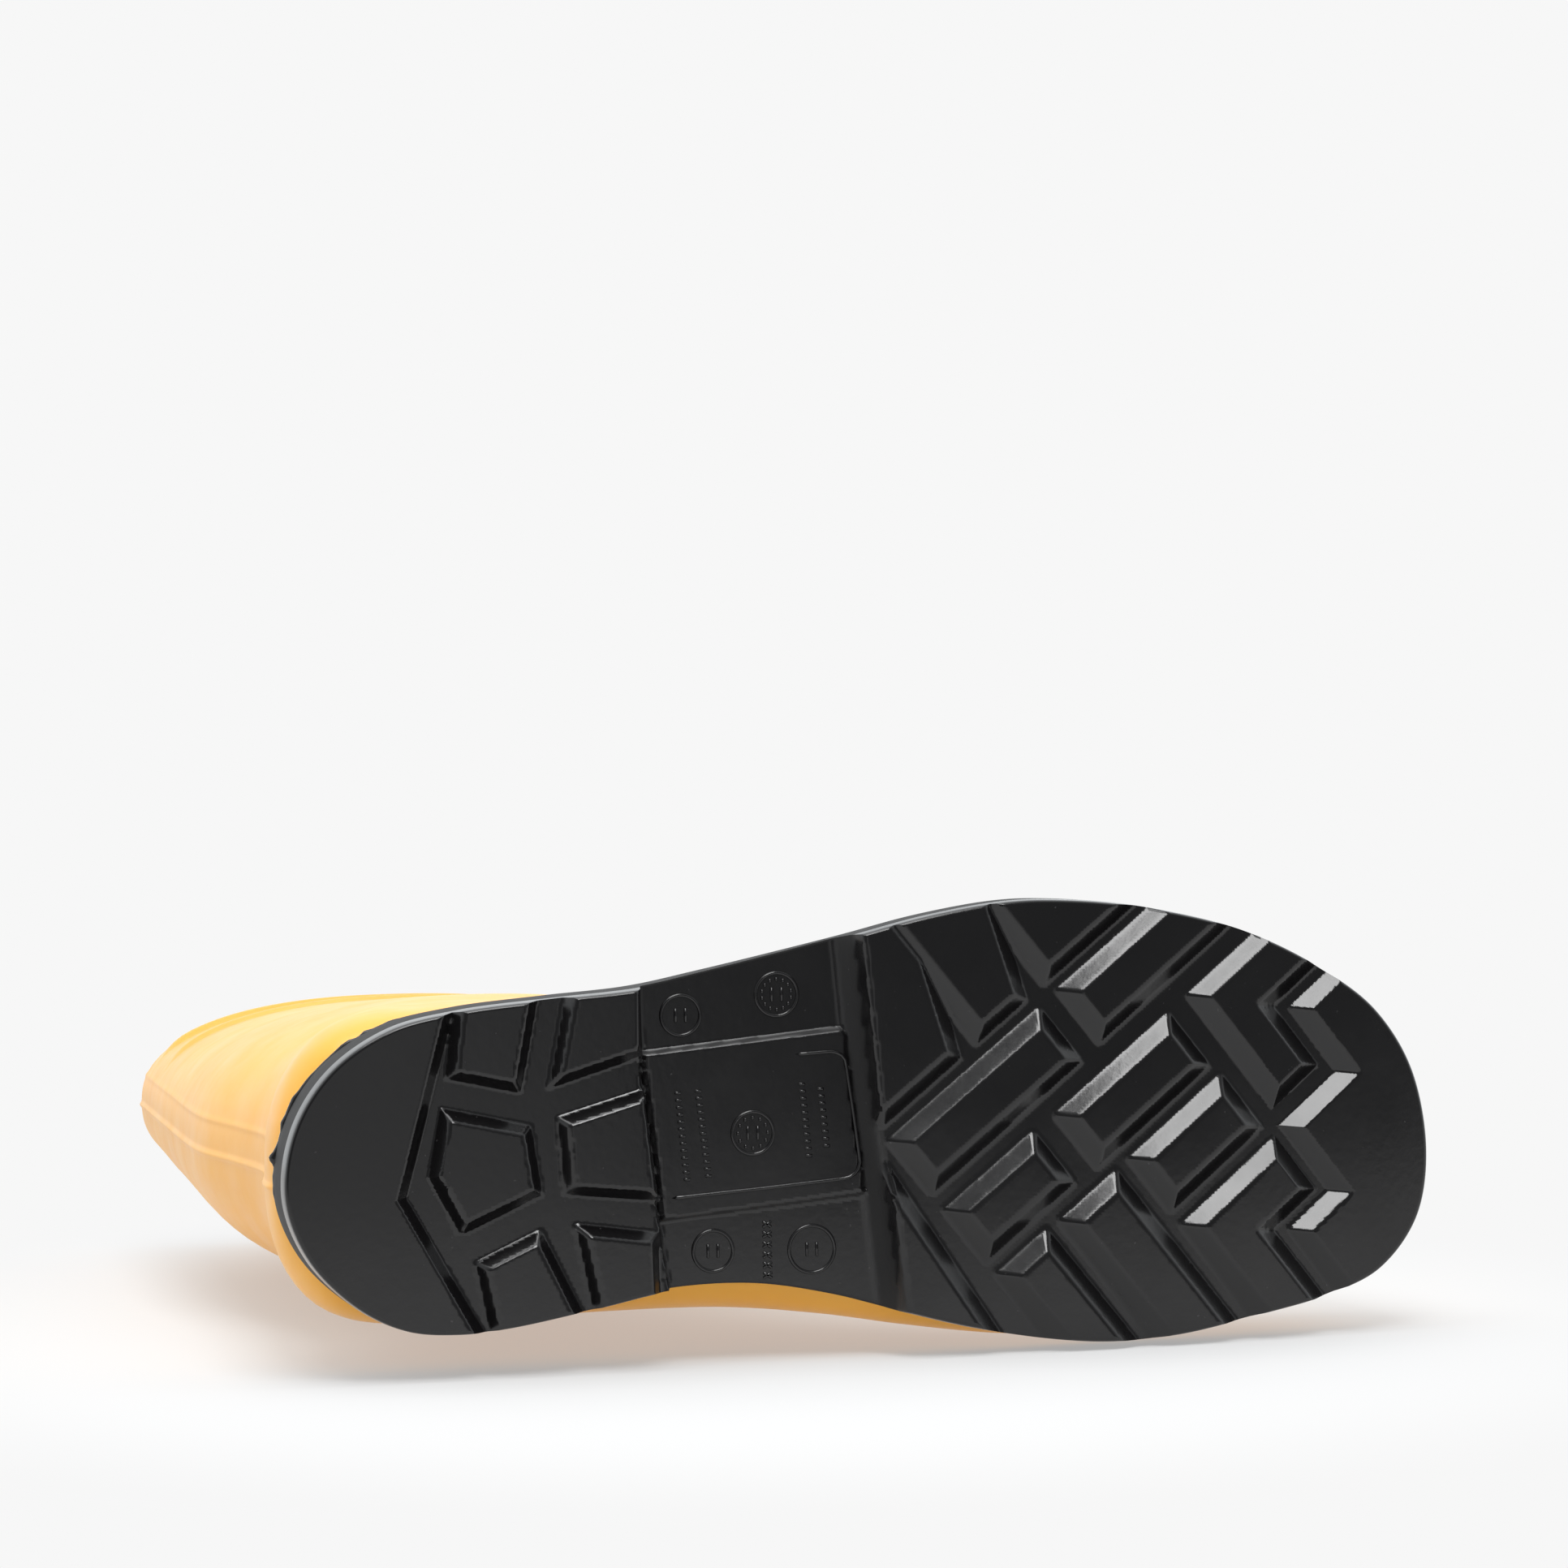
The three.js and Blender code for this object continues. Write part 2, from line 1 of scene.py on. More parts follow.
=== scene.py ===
# %% [markdown]
# A firefighter's safety wellington, right foot: a yellow moulded upper on a black moulded sole.
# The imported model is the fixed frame. It already holds the hidden steel, board and core pieces,
# and this lesson makes the surfaces that meet the eye: sole, upper, knitted sock and footbed.
# Each is worked out with numpy as a surface of two parameters, because a moulding is a smooth
# surface drawn between a few sections, and a formula keeps its edges where the mould has them.

# %% Load the frame
import math

import bmesh
import bpy
import numpy as np
from mathutils import Matrix, Vector


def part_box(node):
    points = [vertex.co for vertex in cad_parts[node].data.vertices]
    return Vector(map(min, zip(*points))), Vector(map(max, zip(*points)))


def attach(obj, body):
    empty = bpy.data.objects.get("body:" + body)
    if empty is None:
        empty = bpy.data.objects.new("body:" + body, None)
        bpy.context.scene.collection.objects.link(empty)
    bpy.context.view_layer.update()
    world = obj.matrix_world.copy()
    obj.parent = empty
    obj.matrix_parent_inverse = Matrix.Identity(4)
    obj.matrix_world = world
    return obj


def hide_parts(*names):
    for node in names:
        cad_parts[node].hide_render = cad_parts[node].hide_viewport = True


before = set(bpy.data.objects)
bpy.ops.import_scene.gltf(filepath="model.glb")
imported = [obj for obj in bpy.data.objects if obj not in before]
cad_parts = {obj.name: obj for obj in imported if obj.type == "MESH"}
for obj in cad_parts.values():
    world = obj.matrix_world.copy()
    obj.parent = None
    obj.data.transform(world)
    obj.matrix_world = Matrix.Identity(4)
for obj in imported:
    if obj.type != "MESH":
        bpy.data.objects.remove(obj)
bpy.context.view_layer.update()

# %% [markdown]
# The boot stands upright in the frame, toe towards -Y and the inner side of the foot towards +X.
# It is looked at lying on its inner side, from under the heel, so the camera sits below the
# sole with the outer side of the foot as its "up". A long lens keeps the sole nearly flat.

# %% Camera
MM = 0.001
SENSOR, LENS = 36, 106.52                # millimetres
outsole_low, outsole_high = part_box("outsole")


def make_camera():
    """A camera at a fixed place, with its axes as columns: right, up, back."""
    data = bpy.data.cameras.new("camera")
    data.sensor_width = SENSOR
    data.lens = LENS
    camera = bpy.data.objects.new("camera", data)
    bpy.context.scene.collection.objects.link(camera)
    right = Vector((0.01779, -0.97014, -0.24188))
    up = Vector((-0.99984, -0.01726, -0.00430))
    back = Vector((0, 0.24192, -0.97030))
    turn = Matrix((right, up, back)).transposed().to_4x4()
    camera.matrix_world = Matrix.Translation((-0.08809, 0.30818, -1.13929)) @ turn
    bpy.context.scene.camera = camera
    return camera


camera = make_camera()
print("camera at", [round(v, 3) for v in camera.location])

# %% [markdown]
# Every surface here is a grid of points. One helper turns a grid into a mesh: it joins the
# last column to the first, welds the points that fall on one another at seams and poles, and
# turns the faces outwards.

# %% Grid to mesh


def grid_faces(rows, columns):
    """Corner numbers of the quads of a grid whose last column meets its first."""
    r = np.arange(rows - 1)[:, None]
    c = np.arange(columns)[None, :]
    after = (c + 1) % columns
    corners = (r * columns + c, r * columns + after, (r + 1) * columns + after, (r + 1) * columns + c)
    return np.stack(corners, -1).reshape(-1, 4)


def surface(name, points, faces=None, uv=None, sharp=None):
    """A mesh object from a (rows, columns, 3) grid in millimetres, welded and turned outwards."""
    if faces is None:
        faces = grid_faces(*points.shape[:2])
    mesh = bpy.data.meshes.new(name)
    mesh.from_pydata((points.reshape(-1, 3) * MM).tolist(), [], faces.tolist())
    if uv is not None:
        layer = mesh.uv_layers.new(name="cloth")
        layer.data.foreach_set("uv", uv.reshape(-1, 2)[faces.ravel()].astype(np.float32).ravel())
    work = bmesh.new()
    work.from_mesh(mesh)
    bmesh.ops.remove_doubles(work, verts=work.verts, dist=1e-6)
    bmesh.ops.dissolve_degenerate(work, edges=work.edges, dist=1e-7)
    bmesh.ops.recalc_face_normals(work, faces=work.faces)
    work.to_mesh(mesh)
    work.free()
    mesh.polygons.foreach_set("use_smooth", np.ones(len(mesh.polygons), bool))
    if sharp is not None:
        mesh.set_sharp_from_angle(angle=math.radians(sharp))
    piece = bpy.data.objects.new(name, mesh)
    bpy.context.scene.collection.objects.link(piece)
    print(name, len(mesh.vertices), "points", 2 * len(mesh.polygons), "triangles")
    return piece


def normals_of(points):
    """Unit normals of a grid closed along its columns: the cross product of its two slopes."""
    along_rows = np.gradient(points, axis=0)
    along_columns = np.roll(points, -1, 1) - np.roll(points, 1, 1)
    normal = np.cross(along_columns, along_rows)
    return normal / np.maximum(np.linalg.norm(normal, axis=-1, keepdims=True), 1e-9)


def ease(value, start, end):
    """Smooth step: 0 before start, 1 after end, and 3t^2 - 2t^3 between."""
    t = np.clip((value - start) / (end - start), 0, 1)
    return t * t * (3 - 2 * t)


# %% [markdown]
# The sole's plan is one closed curve through a few points. A centripetal Catmull-Rom curve
# passes through all of them without overshooting at the toe, where they crowd together.

# %% Plan of the sole
TREAD_DEPTH = 3.6        # lug height
TREAD_WEB = 6.9          # rubber between tread base and upper, forefoot
WAIST = 9.5              # height of the waist above the ground
PLATE = 1.5              # the waist's plate stands this far proud
PLATE_BEVEL = 1.4        # and its edge slopes over this length
WAIST_SLOPE = 7          # length of the slope from the forefoot tread up into the waist
HEEL_SLOPE = 1.6         # and of the steeper one at the front of the heel
HEEL_SEAT = 24           # underside of the upper at the heel
SOLE_WALL = 17           # black side wall at the forefoot
HEEL_WALL = 27           # and at the heel
ROCKER_RADIUS = 527
ROCKER_START = 40
SOLE_PLAN = np.array([  # across, forward
    [0, -152.5], [-17, -150], [-31, -141], [-41, -126], [-45.2, -108], [-47.6, -84],
    [-49.5, -62], [-53, -44], [-61, -8], [-66, 13], [-69.2, 34], [-69.4, 48], [-67.2, 70],
    [-60, 100], [-49, 123], [-38, 138], [-22, 148.5], [0, 152.5], [17, 149], [29.5, 138],
    [35.5, 123], [40, 101], [43.8, 78], [44.3, 56], [39.5, 25], [34, 4], [29.5, -12],
    [26, -32], [26.3, -54], [30, -74], [34, -97], [35, -110], [33.5, -123], [27, -135.5],
    [15, -147],
])


def closed_curve(points, steps):
    """Centripetal Catmull-Rom: a cubic between neighbours, timed by the root of their distance."""
    p0, p1, p2, p3 = (np.roll(points, 1 - k, 0) for k in range(4))
    gap0, gap1, gap2 = (np.sqrt(np.linalg.norm(b - a, axis=1))[:, None]
                        for a, b in ((p0, p1), (p1, p2), (p2, p3)))
    out = (p1 - p0) / gap0 - (p2 - p0) / (gap0 + gap1) + (p2 - p1) / gap1
    back = (p2 - p1) / gap1 - (p3 - p1) / (gap1 + gap2) + (p3 - p2) / gap2
    t = np.linspace(0, 1, steps, endpoint=False)[None, :, None]
    out, back, p1, p2 = ((v * s)[:, None] for v, s in ((out, gap1), (back, gap1), (p1, 1), (p2, 1)))
    a = 2 * p1 - 2 * p2 + out + back
    b = -3 * p1 + 3 * p2 - 2 * out - back
    return (((a * t + b) * t + out) * t + p1).reshape(-1, 2)


plan = closed_curve(SOLE_PLAN, 60)
centre_x = (outsole_low.x + outsole_high.x) / 2 / MM - (plan[:, 0].min() + plan[:, 0].max()) / 2
centre_y = (outsole_low.y + outsole_high.y) / 2 / MM + (plan[:, 1].min() + plan[:, 1].max()) / 2
toe_at = int(np.argmax(plan[:, 1]))
outer_half = plan[:toe_at + 1]                               # heel to toe, outer side
inner_half = np.vstack([plan[toe_at:], plan[:1]])[::-1]      # heel to toe, inner side


def outer_edge(forward):
    """Across-coordinate of the sole's outer edge at a place along the foot."""
    return np.interp(forward, outer_half[:, 1], outer_half[:, 0])


def inner_edge(forward):
    """Across-coordinate of the sole's inner edge at a place along the foot."""
    return np.interp(forward, inner_half[:, 1], inner_half[:, 0])


def rocker(forward):
    """Ground line of the forefoot: a parabola that fits a circle of the rocker's radius."""
    return np.maximum(forward - ROCKER_START, 0) ** 2 / (2 * ROCKER_RADIUS)


def seat(forward):
    """Underside of the upper: level at the heel, easing down to the forefoot."""
    forefoot = rocker(forward) + TREAD_DEPTH + TREAD_WEB
    return HEEL_SEAT + (forefoot - HEEL_SEAT) * ease(forward, -105, 35)


def wall_top(forward):
    """Top edge of the black side wall, easing from heel to forefoot."""
    return HEEL_WALL + (rocker(forward) + SOLE_WALL - HEEL_WALL) * ease(forward, -90, 20)


def placed(points):
    """From across, forward, up to the frame's X, Y, Z, still in millimetres."""
    return np.stack([points[..., 0] + centre_x, centre_y - points[..., 1], points[..., 2]], -1)


print("sole plan", len(plan), "points; plan offset", round(centre_x, 2), round(centre_y, 2))

# %% [markdown]
# The tread was cut into the mould with an angled cutter, so each lug is a flat face with
# sloping flanks and mitred corners. The distance from a convex polygon, taken as the largest
# distance beyond any one of its sides, gives exactly that: a flank is a straight ramp of it.
# Lugs that aren't convex are made of two polygons, and the nearest polygon wins.

# %% Tread blocks
LUG_BEVEL = 4.6          # a forefoot lug's flank spreads this far over the tread depth
BLOCK_BEVEL = 3          # and a heel block's
GRID_TURN = math.atan2(0.625, 0.78)
PAST = 140               # beyond the sole's edge


def bar(a1, a2, b1, b2):
    """A rectangle on the forefoot's turned grid."""
    return [[a1, b1], [a2, b1], [a2, b2], [a1, b2]]


def from_grid(corners):
    """Turned grid to across, forward."""
    a, b = np.array(corners, float).T
    sine, cosine = math.sin(GRID_TURN), math.cos(GRID_TURN)
    return np.stack([-sine * a + cosine * b, cosine * a + sine * b], -1)


forefoot_lugs = [from_grid(c) for c in (
    [[42, -61], [42, -36], [33, -13.5], [11, -13.5], [34.8, -50.3]],
    [[45, -PAST], [64.7, -PAST], [64.7, -36], [56, -13.5], [45, -13.5]],
    bar(68.5, PAST, -PAST, -13.5), bar(70.4, PAST, -2, 7.8), bar(11.5, 56, -1.6, 8.3),
    bar(11.5, 34.4, 21.8, 31), bar(49.5, 82, 22.3, 32.2),
    bar(97, PAST, 22.3, 32), bar(97, 105.5, 22.3, 52.5),
    bar(11.5, 21, 43.5, PAST), bar(33, 45, 44.2, PAST), bar(57.6, 83, 44.2, 54.3),
    bar(57.6, 84, 67, 77), bar(57.6, 68, 67, PAST),
    bar(117.4, PAST, 44, PAST), bar(95.6, PAST, 66, PAST), bar(80, PAST, 88.5, PAST),
)]
forefoot_lugs.append(np.array([[6.1, 3.2], [60, 8.1], [60, 38.7]]))     # the inner rear wedge
heel_blocks = [np.array(c, float) for c in (
    [[-60, -108.5], [1.1, -125.1], [1.1, -170], [-60, -170]],
    [[1.1, -125.1], [50, -98], [50, -170], [1.1, -170]],
    [[-60, -105], [-30.8, -108.7], [-27.7, -94.8], [-60, -88.5]],
    [[-60, -76], [-29.2, -82.2], [-34.9, -63.4], [-60, -63]],
    [[-18, -110.9], [-13.9, -92.7], [-0.4, -90.7], [7, -107.4], [-4.7, -113.6]],
    [[-15.9, -80.7], [-21.2, -62.2], [0.8, -60], [-1.2, -79.5]],
    [[19.2, -101.9], [13.6, -89.5], [50, -72], [50, -95.7]],
    [[12.1, -76.2], [14.3, -60.7], [50, -60], [50, -68.4]],
)]
waist_plate = np.array([[-32.4, -59.5], [-37.3, -6.2], [3.8, -1.6], [8.6, -55.2]])
tread_rear = np.array([[-60.8, -3.6], [-13.4, 0.6], [6.9, 3.6], [37, 6.9]])
tread_front_line = (tread_rear[:, 0], tread_rear[:, 1])
waist_rear = np.array([[-48.8, -61], [-20.6, -60.4], [4.1, -57.3], [27.3, -53.9]])


def polygon_distance(points, corners):
    """Largest distance beyond any side of a convex polygon, and that side's outward normal."""
    ahead = np.roll(corners, -1, 0)
    side = ahead - corners
    area = np.sum(corners[:, 0] * ahead[:, 1] - ahead[:, 0] * corners[:, 1])
    normal = np.stack([side[:, 1], -side[:, 0]], -1) * np.sign(area)
    normal = normal / np.linalg.norm(normal, axis=1, keepdims=True)
    beyond = points @ normal.T - np.sum(corners * normal, 1)
    which = np.argmax(beyond, -1)
    return np.take_along_axis(beyond, which[..., None], -1)[..., 0], normal[which]


def nearest(points, polygons):
    """The least polygon distance over several polygons, and its normal."""
    best, normal = polygon_distance(points, polygons[0])
    for polygon in polygons[1:]:
        distance, n = polygon_distance(points, polygon)
        closer = distance < best
        best = np.where(closer, distance, best)
        normal = np.where(closer[..., None], n, normal)
    return best, normal


def tread_height(points):
    """Ground line plus the ramp of the nearest lug, capped by the tread base of each zone."""
    across, forward = points[..., 0], points[..., 1]
    ground = rocker(forward)
    past_rear = forward - np.interp(across, *tread_front_line)
    past_heel = forward - np.interp(across, waist_rear[:, 0], waist_rear[:, 1])
    rise = WAIST - TREAD_DEPTH
    base = TREAD_DEPTH + rise * ease(past_heel, -HEEL_SLOPE, 0)
    base = base - rise * ease(past_rear, -WAIST_SLOPE, 0) + ground
    lug, _ = nearest(points, forefoot_lugs)
    block, _ = nearest(points, heel_blocks)
    behind = np.clip(-past_rear, 0, None) * 1.4          # lugs end in a steep rear wall
    height = np.minimum(base, ground + np.clip(lug, 0, None) * TREAD_DEPTH / LUG_BEVEL + behind)
    ahead = np.clip(past_heel + 1, 0, None) * 4          # and heel blocks in a steeper front one
    height = np.minimum(height, np.clip(block, 0, None) * TREAD_DEPTH / BLOCK_BEVEL + ahead)
    plate, _ = polygon_distance(points, waist_plate)
    raised = WAIST - PLATE * np.clip(1 - plate / PLATE_BEVEL, 0, 1)
    return np.where((past_heel > 0) & (past_rear < -6), np.minimum(height, raised), height)


def snap(points, cell):
    """Moves grid points that lie near a crease of the tread onto it, along its normal."""
    reach = 0.36 * cell
    for polygons, bevel in ((forefoot_lugs, LUG_BEVEL), (heel_blocks, BLOCK_BEVEL),
                            ([waist_plate], PLATE_BEVEL)):
        for level in (0, bevel):
            distance, normal = nearest(points, polygons)
            off = np.where(np.abs(distance - level) < reach, distance - level, 0)
            points = points - off[..., None] * normal
    return points


print(len(forefoot_lugs) + len(heel_blocks), "tread polygons")

# %% [markdown]
# The sole is one closed moulding. Its grid runs round the edge in one direction. In the other it
# goes from a spine down the middle out to the edge, up the side wall, over the lip and back
# inside under the upper. Near the ends of the foot the columns fan out from the spine's ends.
# The side wall's lower fifth is polished and flares out a little. Above it the wall is upright
# and rough, and a shoulder at the top leans in to the upper. A number on each point says how
# rough it is.

# %% Outsole
SPINE_HEEL, SPINE_TOE = -112, 104
CELL = 0.76              # spacing of the grid on the tread
TOE_COLUMNS, HEEL_COLUMNS, FACE_ROWS = 200, 170, 73
CUP = 11                 # the hidden cup starts this far inside the edge
CUP_LAP = 0.8            # and lies this far below the upper
WALL_FLARE = 0.35        # outward lean of the polished part of the wall
POLISHED = 0.21          # share of the wall's height that is polished
SHOULDER = 0.74          # from this share up, the wall leans in
SHOULDER_IN = 3.0
EDGE_ROUND = 0.8         # rounding where tread and wall meet


def resample(line, count):
    """Even steps along an open line, ends included."""
    step = np.linalg.norm(np.diff(line, axis=0), axis=1)
    length = np.concatenate([[0], np.cumsum(step)])
    at = np.linspace(0, length[-1], count)
    return np.stack([np.interp(at, length, line[:, k]) for k in range(line.shape[1])], -1)


def perimeter():
    """Edge points once round the sole with the spine point that each column starts from."""
    straight = np.linspace(SPINE_HEEL, SPINE_TOE, int((SPINE_TOE - SPINE_HEEL) / CELL))
    middle = (inner_edge(straight) + outer_edge(straight)) / 2
    spine = np.stack([middle, straight], -1)
    inner = np.stack([inner_edge(straight), straight], -1)
    outer = np.stack([outer_edge(straight), straight], -1)[::-1]
    dense_inner = inner_half[inner_half[:, 1] > SPINE_TOE]
    dense_outer = outer_half[outer_half[:, 1] > SPINE_TOE]
    toe = np.vstack([inner[-1:], dense_inner, dense_outer[::-1], outer[:1]])
    dense_inner = inner_half[inner_half[:, 1] < SPINE_HEEL]
    dense_outer = outer_half[outer_half[:, 1] < SPINE_HEEL]
    heel = np.vstack([outer[-1:], dense_outer[::-1], dense_inner, inner[:1]])
    toe = resample(toe, TOE_COLUMNS)[1:-1]
    heel = resample(heel, HEEL_COLUMNS)[1:-1]
    edge = np.vstack([inner, toe, outer, heel])
    start = np.vstack([spine, np.repeat(spine[-1:], len(toe), 0), spine[::-1],
                       np.repeat(spine[:1], len(heel), 0)])
    return edge, start


def outward_of(edge, spine):
    """Unit normals of the edge in plan, turned away from the spine."""
    slope = np.roll(edge, -1, 0) - np.roll(edge, 1, 0)
    outward = np.stack([slope[:, 1], -slope[:, 0]], -1) / np.linalg.norm(slope, axis=1)[:, None]
    return outward * np.sign(np.sum(outward * (edge - spine)))


def wall_offset(height, total):
    """Outward offset of the wall: rounded edge, flare up to the polished share, then shoulder."""
    share = height / total
    flare = WALL_FLARE * np.clip(share / POLISHED, 0, 1)
    shoulder = SHOULDER_IN * np.clip((share - SHOULDER) / (1 - SHOULDER), 0, 1) ** 1.6
    edge = 0.45 * np.clip(1 - height / EDGE_ROUND, 0, 1) ** 2
    return flare - shoulder - edge


def make_outsole():
    """Rows: tread face from spine to edge, side wall, lip, and the hidden cup back to the spine."""
    edge, spine = perimeter()
    outward = outward_of(edge, spine)
    ground = rocker(edge[:, 1])
    top = wall_top(edge[:, 1])
    total = top - ground
    foot = edge + outward * wall_offset(tread_height(edge) - ground, total)[:, None]
    share = np.linspace(0, 1, FACE_ROWS)[:, None, None]
    face = spine + share * (foot - spine)
    face[1:-1] = snap(face[1:-1], CELL)
    rows = list(np.concatenate([face, tread_height(face)[..., None]], -1))
    low = tread_height(foot)
    rounding = (0.008, 0.016, 0.03)
    for climb in (*rounding, 0.1, POLISHED, 0.23, 0.35, 0.5, SHOULDER, 0.8, 0.86, 0.92, 0.97, 1):
        up = np.maximum(low + EDGE_ROUND * min(climb / rounding[-1], 1), ground + total * climb)
        up = np.minimum(up, top - 0.1 * (1 - climb))
        out = edge + outward * wall_offset(up - ground, total)[:, None]
        rows.append(np.concatenate([out, up[:, None]], -1))
    for inset, rise in ((2.6, 0.25), (3.2, 0.6), (4.2, 1), (7, 1.2), (8, 0.5)):
        out = edge - outward * inset
        rows.append(np.concatenate([out, (top + rise)[:, None]], -1))
    floor = seat(edge[:, 1])
    for inset, rise in ((8.5, 6), (9, 1), (CUP, -CUP_LAP)):
        out = edge - outward * inset
        rows.append(np.concatenate([out, (floor + rise)[:, None]], -1))
    inside = edge - outward * CUP
    for share in (0.7, 0.4, 0.15, 0):
        back = spine + share * (inside - spine)
        rows.append(np.concatenate([back, (seat(back[:, 1]) - CUP_LAP)[:, None]], -1))
    sole = surface("moulded_outsole", placed(np.array(rows)), sharp=62)
    mark_wall(sole.data)
    return sole


def mark_wall(mesh):
    """Writes how rough each point is: 1 on the upright wall above its polished part, else 0."""
    count = len(mesh.vertices)
    co, normal = np.zeros(count * 3), np.zeros(count * 3)
    mesh.vertices.foreach_get("co", co)
    mesh.vertices.foreach_get("normal", normal)
    co, normal = co.reshape(-1, 3) / MM, normal.reshape(-1, 3)
    forward, up = centre_y - co[:, 1], co[:, 2]
    ground = rocker(forward)
    share = (up - ground) / (wall_top(forward) - ground)
    upright = ease(1 - np.abs(normal[:, 2]), 0.1, 0.3)
    rough = upright * ease(share, POLISHED, POLISHED + 0.02)
    layer = mesh.attributes.new("rough_wall", "FLOAT", "POINT")
    layer.data.foreach_set("value", rough.astype(np.float32))


outsole = make_outsole()

# %% [markdown]
# The waist carries small moulded marks: rings, a framed panel and short plain dashes. They are
# round beads half a millimetre high, made as tubes along a path and set halfway into the
# face. Plain dashes stand where such a boot has its lettering.

# %% Waist marks


def bead(path, radius, closed=False, sides=8):
    """A tube: circles of one radius carried along a path in the plane of the sole."""
    path = np.array(path, float)
    if closed:
        tangent = np.roll(path, -1, 0) - np.roll(path, 1, 0)
    else:
        tangent = np.gradient(path, axis=0)
    tangent /= np.linalg.norm(tangent, axis=1, keepdims=True)
    aside = np.stack([tangent[:, 1], -tangent[:, 0], np.zeros(len(path))], -1)
    angle = np.linspace(0, 2 * math.pi, sides, endpoint=False)[None, :, None]
    size = np.full(len(path), float(radius))
    if not closed:
        size[[0, -1]] = 1e-4
    ring = aside[:, None] * np.cos(angle) + np.array([0, 0, -1]) * np.sin(angle)
    points = path[:, None] + ring * size[:, None, None]
    return np.concatenate([points, points[:1]]) if closed else points


def ring_path(across, forward, radius, height, count=40):
    """A circle in the plane of the sole."""
    angle = np.linspace(0, 2 * math.pi, count, endpoint=False)
    return np.stack([across + radius * np.cos(angle), forward + radius * np.sin(angle),
                     np.full(count, height)], -1)


def dash(start, end, height):
    """A short straight path with two points close to each end, which keep it blunt."""
    start, end = np.array(start, float), np.array(end, float)
    at = np.array([0, 0.06, 0.94, 1])[:, None]
    line = start + at * (end - start)
    return np.concatenate([line, np.full((len(line), 1), height)], -1)


def make_marks():
    """Every bead of the waist in one piece of many small closed tubes."""
    plate_face = WAIST - PLATE
    tubes = []
    small = {"radius": 0.42, "sides": 6}
    rings = ((-42.4, -50, 5.1, 0, WAIST), (-47, -24.8, 5.5, 14, WAIST), (17.7, -42.6, 5.2, 0, WAIST),
             (18.3, -16.7, 6, 0, WAIST), (-12, -32, 5.4, 12, plate_face))
    for across, forward, radius, dots, height in rings:
        tubes.append(bead(ring_path(across, forward, radius, height), 0.48, closed=True))
        for k in range(dots):
            angle = 2 * math.pi * k / dots
            spot = np.array([across + 3.9 * math.cos(angle), forward + 3.9 * math.sin(angle)])
            tubes.append(bead(dash(spot - [0.45, 0], spot + [0.45, 0], height), **small))
        for step in (-1.3, 1.3):
            line = dash((across - 1.9, forward + step), (across + 1.9, forward + step), height)
            tubes.append(bead(line, **small))
    frame_line = np.array([[-31.6, -20.5], [-32.1, -11], [-31.5, -8.6], [-29.7, -7.3], [-16, -5.4],
                           [-3.7, -3.9], [-1.2, -4.6], [0.4, -7.1], [2.2, -30], [3.8, -53.5]])
    frame_line = resample(frame_line, 60)
    flat = np.full((len(frame_line), 1), plate_face)
    tubes.append(bead(np.concatenate([frame_line, flat], -1), 0.5))
    for start, end in (((-23.7, -51.5), (0.1, -49.3)), ((-24, -46.2), (-0.6, -43.7)),
                       ((-24.9, -19), (-4.8, -17.3)), ((-23.5, -14.1), (-7.2, -12.6))):
        start, end = np.array(start), np.array(end)
        count = int(np.linalg.norm(end - start) / 1.75)
        for k in range(count):
            at = start + (end - start) * (k + 0.5) / count
            tubes.append(bead(dash(at - [0.1, 0.9], at + [0.1, 0.9], plate_face), **small))
    for k in range(6):
        at = np.array([11.5 + 2.6 * k, -28.4])
        tubes.append(bead(dash(at - [0.8, 1.2], at + [0.8, 1.2], WAIST), **small))
        tubes.append(bead(dash(at - [0.8, -1.2], at + [0.8, -1.2], WAIST), **small))
    return join("sole_marks", tubes)


def join(name, tubes):
    """Several closed tubes as one mesh."""
    faces, first = [], 0
    for tube in tubes:
        faces.append(grid_faces(*tube.shape[:2]) + first)
        first += tube.shape[0] * tube.shape[1]
    points = np.concatenate([placed(tube).reshape(-1, 3) for tube in tubes])
    print(len(tubes), "beads")
    return surface(name, points, np.concatenate(faces))


marks = make_marks()

# %% [markdown]
# The upper is a loft. Each section is a rounded box, a superellipse, that spans from a point on
# the underside or back of the boot to one on its top or front, so the sections can fan round
# the heel without crossing. A smooth curve through the sections' values gives those between.

# %% Sections of the leg and foot
BOOT_HEIGHT = 380
RIM_DEPTH, RIM_WIDTH = 164, 63
SOLE_LEDGE = 1.2
UPPER_WALL = 3
DOME_START = 108         # ahead of this the toe closes in
DOME_RAMP = 30           # length over which the sections begin to move back
TOE_END = 150.5


def foot_station(forward, top, low, n1, n2, bulge=0):
    """An upright section over the sole: back point, front point, sides, widest level, squareness."""
    return [forward, seat(forward), forward, top, outer_edge(forward) + SOLE_LEDGE,
            inner_edge(forward) - SOLE_LEDGE + bulge, low, n1, n2]


